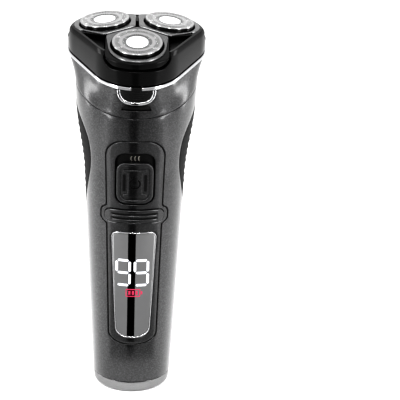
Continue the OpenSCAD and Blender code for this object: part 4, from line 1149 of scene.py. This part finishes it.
def buildPod(i):
    wrap = onPod(i)
    name = i + 1
    centreX = head["outlineC"] - head["podPitch"]
    arcR = pod["reach"] - head["outlineC"] + head["podPitch"]

    def podArc():
        limit = math.asin(pod["half"] / arcR)
        turns = [limit * t / 16 for t in range(-16, 17)]
        return [(centreX + arcR * math.cos(t), arcR * math.sin(t)) for t in turns]

    def plateArc():
        turns = [math.radians(t) for t in range(-84, 85, 6)]
        return [(1.5 + pod["plateHalf"] * math.cos(t), pod["plateHalf"] * math.sin(t)) for t in turns]

    # the pod's block: its underside rises round the corners, as its notch does
    def blockWrap(x, y, h):
        over = max(0.0, abs(y) - pod["half"] + pod["corner"])
        rise = pod["corner"] - math.sqrt(max(0.0, pod["corner"] ** 2 - min(over, pod["corner"]) ** 2))
        depth = -h / (pod["top"] - pod["low"])
        return wrap(x, y, pod["top"] - depth * max(0.6, pod["top"] - pod["low"] - rise))

    block = plate(f"podBlock{name}", blockWrap, wedgeLoop(pod["half"], podArc, 3),
                  holes=[circleLoop(pod["hole"])], depth=pod["top"] - pod["low"], rounding=0.4,
                  spacing=(1.5, 1.5), node=f"pod_body_{name}")
    r0, r1, z0, z1 = pod["drumInner"], pod["drumOuter"], pod["drumLow"], pod["drumTop"]
    drum = revolve(f"podDrum{name}", [(r0, z0), (r1, z0), (r1, z1), (r0, z1)], turns=96,
                   place=lambda p: wrap(*p), slot="black_gloss", body=bodyOf[f"pod_body_{name}"], sharp=30)
    join(f"podBody{name}", [block, drum])
    plate(f"podPlate{name}", lambda x, y, h: wrap(x, y, pod["plateTop"] + h),
          wedgeLoop(pod["plateHalf"] + 1.1, plateArc, 4), holes=[circleLoop(pod["plateHole"])],
          depth=pod["plateDepth"], rounding=pod["plateLip"], spacing=(1.0, 1.0), steps=5,
          node=f"pod_plate_{name}")


def guardHeight(r):
    # two slotted tracks with a smooth ring between them and a rolled rim
    track = -0.10 * smooth((r - 7.5) / 0.3) * (1 - smooth((r - 7.9) / 0.2))
    ring = 0.10 * smooth((r - 7.5) / 0.25) * (1 - smooth((r - 8.3) / 0.25))
    groove = -0.16 * smooth((5.1 - r) / 0.3)
    outer = -0.12 * smooth((r - 8.3) / 0.3) * (1 - smooth((r - 9.75) / 0.3))
    return track + ring + groove + outer


def slotLoop(r0, r1, halfW, angle):
    ca, sa = math.cos(angle), math.sin(angle)
    pts = [(r0, -halfW), (r1, -halfW), (r1, halfW), (r0, halfW)]
    return [(x * ca - y * sa, x * sa + y * ca) for x, y in subdivide(pts, 1.2)]


def buildGuard(i):
    wrap = onPod(i)
    name = i + 1
    slots = [slotLoop(r0, r1, half, 2 * math.pi * (k + 0.5) / count)
             for count, r0, r1, half in guard["tracks"] for k in range(count)]
    slots += [slotLoop(9.85, 10.35, 0.22, math.radians(a) - podAngles[i]) for a in (-90, 90)]
    seeds = [(r * math.cos(math.radians(a)), r * math.sin(math.radians(a))) for a in range(0, 360, 3)
             for r in (4.84, 6.4, 6.8, 7.15, 7.5, 9.72, 10.0)]
    plate(f"guard{name}", lambda x, y, h: wrap(x, y, h + guardHeight(math.hypot(x, y))),
          circleLoop(guard["radius"], 144), holes=[circleLoop(guard["disc"] + 0.12, 96), *slots],
          depth=guard["depth"], rounding=0.05, edge=guard["rim"], spacing=(0.6, 0.6), seeds=seeds, steps=3,
          node=f"guard_{name}")
    r, low = guard["radius"], -guard["skirt"]
    profile = [(r - 0.55, low), (r - 0.02, low), (r - 0.02, -0.62), (r - 0.12, -0.5), (r - 0.55, -0.5)]
    revolve(f"guardHolder{name}", profile, turns=96, place=lambda p: wrap(*p), slot="black_gloss",
            body=bodyOf[f"guard_{name}"])
    rings = [(0.02, 0.02), (3.9, 0.06), (4.35, 0.02), (4.55, -0.06), (4.6, -0.2), (4.6, -0.42), (0.02, -0.42)]
    revolve(f"guardCap{name}", rings, turns=72, place=lambda p: wrap(*p), node=f"guard_cap_{name}",
            slot="chrome_bright", sharp=60, finish="discMetal")


studio = dict(floorColour=(0.93, 0.93, 0.93), floorSize=9.0, worldLevel=1.05)


def plainMaterial(name, colour, rough, shine=0.5):
    mat = bpy.data.materials.new(name)
    mat.use_nodes = True
    shader = mat.node_tree.nodes["Principled BSDF"]
    shader.inputs["Base Color"].default_value = (*colour, 1)
    shader.inputs["Roughness"].default_value = rough
    shader.inputs["Specular IOR Level"].default_value = shine
    return mat


def stagePlane(name, width, height, matrix, mat):
    mesh = bpy.data.meshes.new(name)
    w, h = width / 2, height / 2
    mesh.from_pydata([(-w, -h, 0), (w, -h, 0), (w, h, 0), (-w, h, 0)], [], [(0, 1, 2, 3)])
    mesh.materials.append(mat)
    sheet = newObject(name, mesh)
    sheet.matrix_world = matrix
    return sheet


def aimed(place, target=(0.0, 0.0, 0.1)):
    # a matrix at place whose -Z looks at the target
    look = Vector(target) - Vector(place)
    return Matrix.Translation(Vector(place)) @ look.to_track_quat("-Z", "Y").to_matrix().to_4x4()


def aroundFront(degrees, distance, height):
    a = math.radians(degrees)
    return (distance * math.sin(a), -distance * math.cos(a), height)


softboxes = [
    dict(name="leftBox", angle=-100, distance=0.55, height=0.22, width=0.10, tall=0.6, radiance=6.0),
    dict(name="rightBox", angle=100, distance=0.55, height=0.22, width=0.10, tall=0.6, radiance=6.0),
    dict(name="leftGlow", angle=-50, distance=0.24, height=0.19, width=0.05, tall=0.34, radiance=9.0),
    dict(name="rightGlow", angle=50, distance=0.24, height=0.19, width=0.05, tall=0.34, radiance=9.0),
    dict(name="topBox", angle=0, distance=0.75, height=0.75, width=0.40, tall=0.05, radiance=60.0),
]
# cards in front, seen in reflections only: a grey one all across and a black wedge in its middle
cards = [
    dict(name="greyCard", fromAngle=-56.0, toAngle=56.0, near=0.045, far=1.6, top=0.55, lift=0.001,
         shade=0.36),
    dict(name="blackCard", fromAngle=-13.0, toAngle=5.0, near=0.05, far=1.5, top=0.50, lift=0.002,
         shade=0.001),
]


def buildCard(card):
    # along the floor outwards, then upright
    turns = [card["fromAngle"] + (card["toAngle"] - card["fromAngle"]) * k / 12 for k in range(13)]
    n = len(turns)
    rows = [(card["near"], card["lift"]), (card["far"], card["lift"]), (card["far"], card["top"])]
    verts = [Vector(aroundFront(a, d, h)) for d, h in rows for a in turns]
    faces = [(r * n + k, r * n + k + 1, (r + 1) * n + k + 1, (r + 1) * n + k)
             for r in range(2) for k in range(n - 1)]
    mesh = bpy.data.meshes.new(card["name"])
    mesh.from_pydata(verts, [], faces)
    mesh.materials.append(plainMaterial(card["name"], (card["shade"],) * 3, 0.9, shine=0.0))
    sheet = newObject(card["name"], mesh)
    sheet.visible_camera = False
    sheet.visible_diffuse = False
    sheet.visible_shadow = False


def buildStudio():
    scene = bpy.context.scene
    scene.view_settings.view_transform = "Standard"
    scene.view_settings.look = "High Contrast"
    floor = stagePlane("floor", studio["floorSize"], studio["floorSize"], Matrix.Identity(4),
                       plainMaterial("paleFloor", studio["floorColour"], 0.9, shine=0.0))
    floor.location.z = cadBox[0][2]
    world = bpy.data.worlds.new("studioAir")
    world.use_nodes = True
    world.node_tree.nodes["Background"].inputs["Color"].default_value = (1, 1, 1, 1)
    world.node_tree.nodes["Background"].inputs["Strength"].default_value = studio["worldLevel"]
    scene.world = world
    for box in softboxes:
        data = bpy.data.lights.new(box["name"], "AREA")
        data.shape = "RECTANGLE"
        data.size, data.size_y = box["width"], box["tall"]
        data.energy = box["radiance"] * math.pi * box["width"] * box["tall"]
        lamp = newObject(box["name"], data)
        lamp.matrix_world = aimed(aroundFront(box["angle"], box["distance"], box["height"]))
        lamp.visible_camera = False
    for card in cards:
        buildCard(card)


view = dict(place=(-3.680, -538.299, 263.404), yaw=3.5547, down=17.9892, roll=1.9796, focal=112.55)


def buildCamera():
    yaw, down, roll = (math.radians(view[k]) for k in ("yaw", "down", "roll"))
    forward = Vector((math.sin(yaw) * math.cos(down), math.cos(yaw) * math.cos(down), -math.sin(down)))
    right = Vector((math.cos(yaw), -math.sin(yaw), 0))
    up = right.cross(forward)
    turnedRight = right * math.cos(roll) + up * math.sin(roll)
    turnedUp = -right * math.sin(roll) + up * math.cos(roll)
    data = bpy.data.cameras.new("studioCamera")
    data.lens, data.sensor_width = view["focal"], 36.0
    data.clip_start, data.clip_end = 0.01, 50
    camera = newObject("studioCamera", data)
    turn = Matrix((turnedRight, turnedUp, -forward)).transposed().to_4x4()
    camera.matrix_world = Matrix.Translation(Vector(view["place"]) * mm) @ turn
    bpy.context.scene.camera = camera


buildCamera()
buildStudio()
print("studio ready")
buildHousings()
buildGrip()
print("housings and grip ready")
buildPanel()
buildDisplay()
buildButton()
buildFoot()
print("panel, display, button and foot ready")
buildCollar()
buildTrim()
buildRelease()
buildFrame()
print("neck, trim and head frame ready")
for podIndex in range(3):
    buildPod(podIndex)
    buildGuard(podIndex)
print("pods and guards ready")
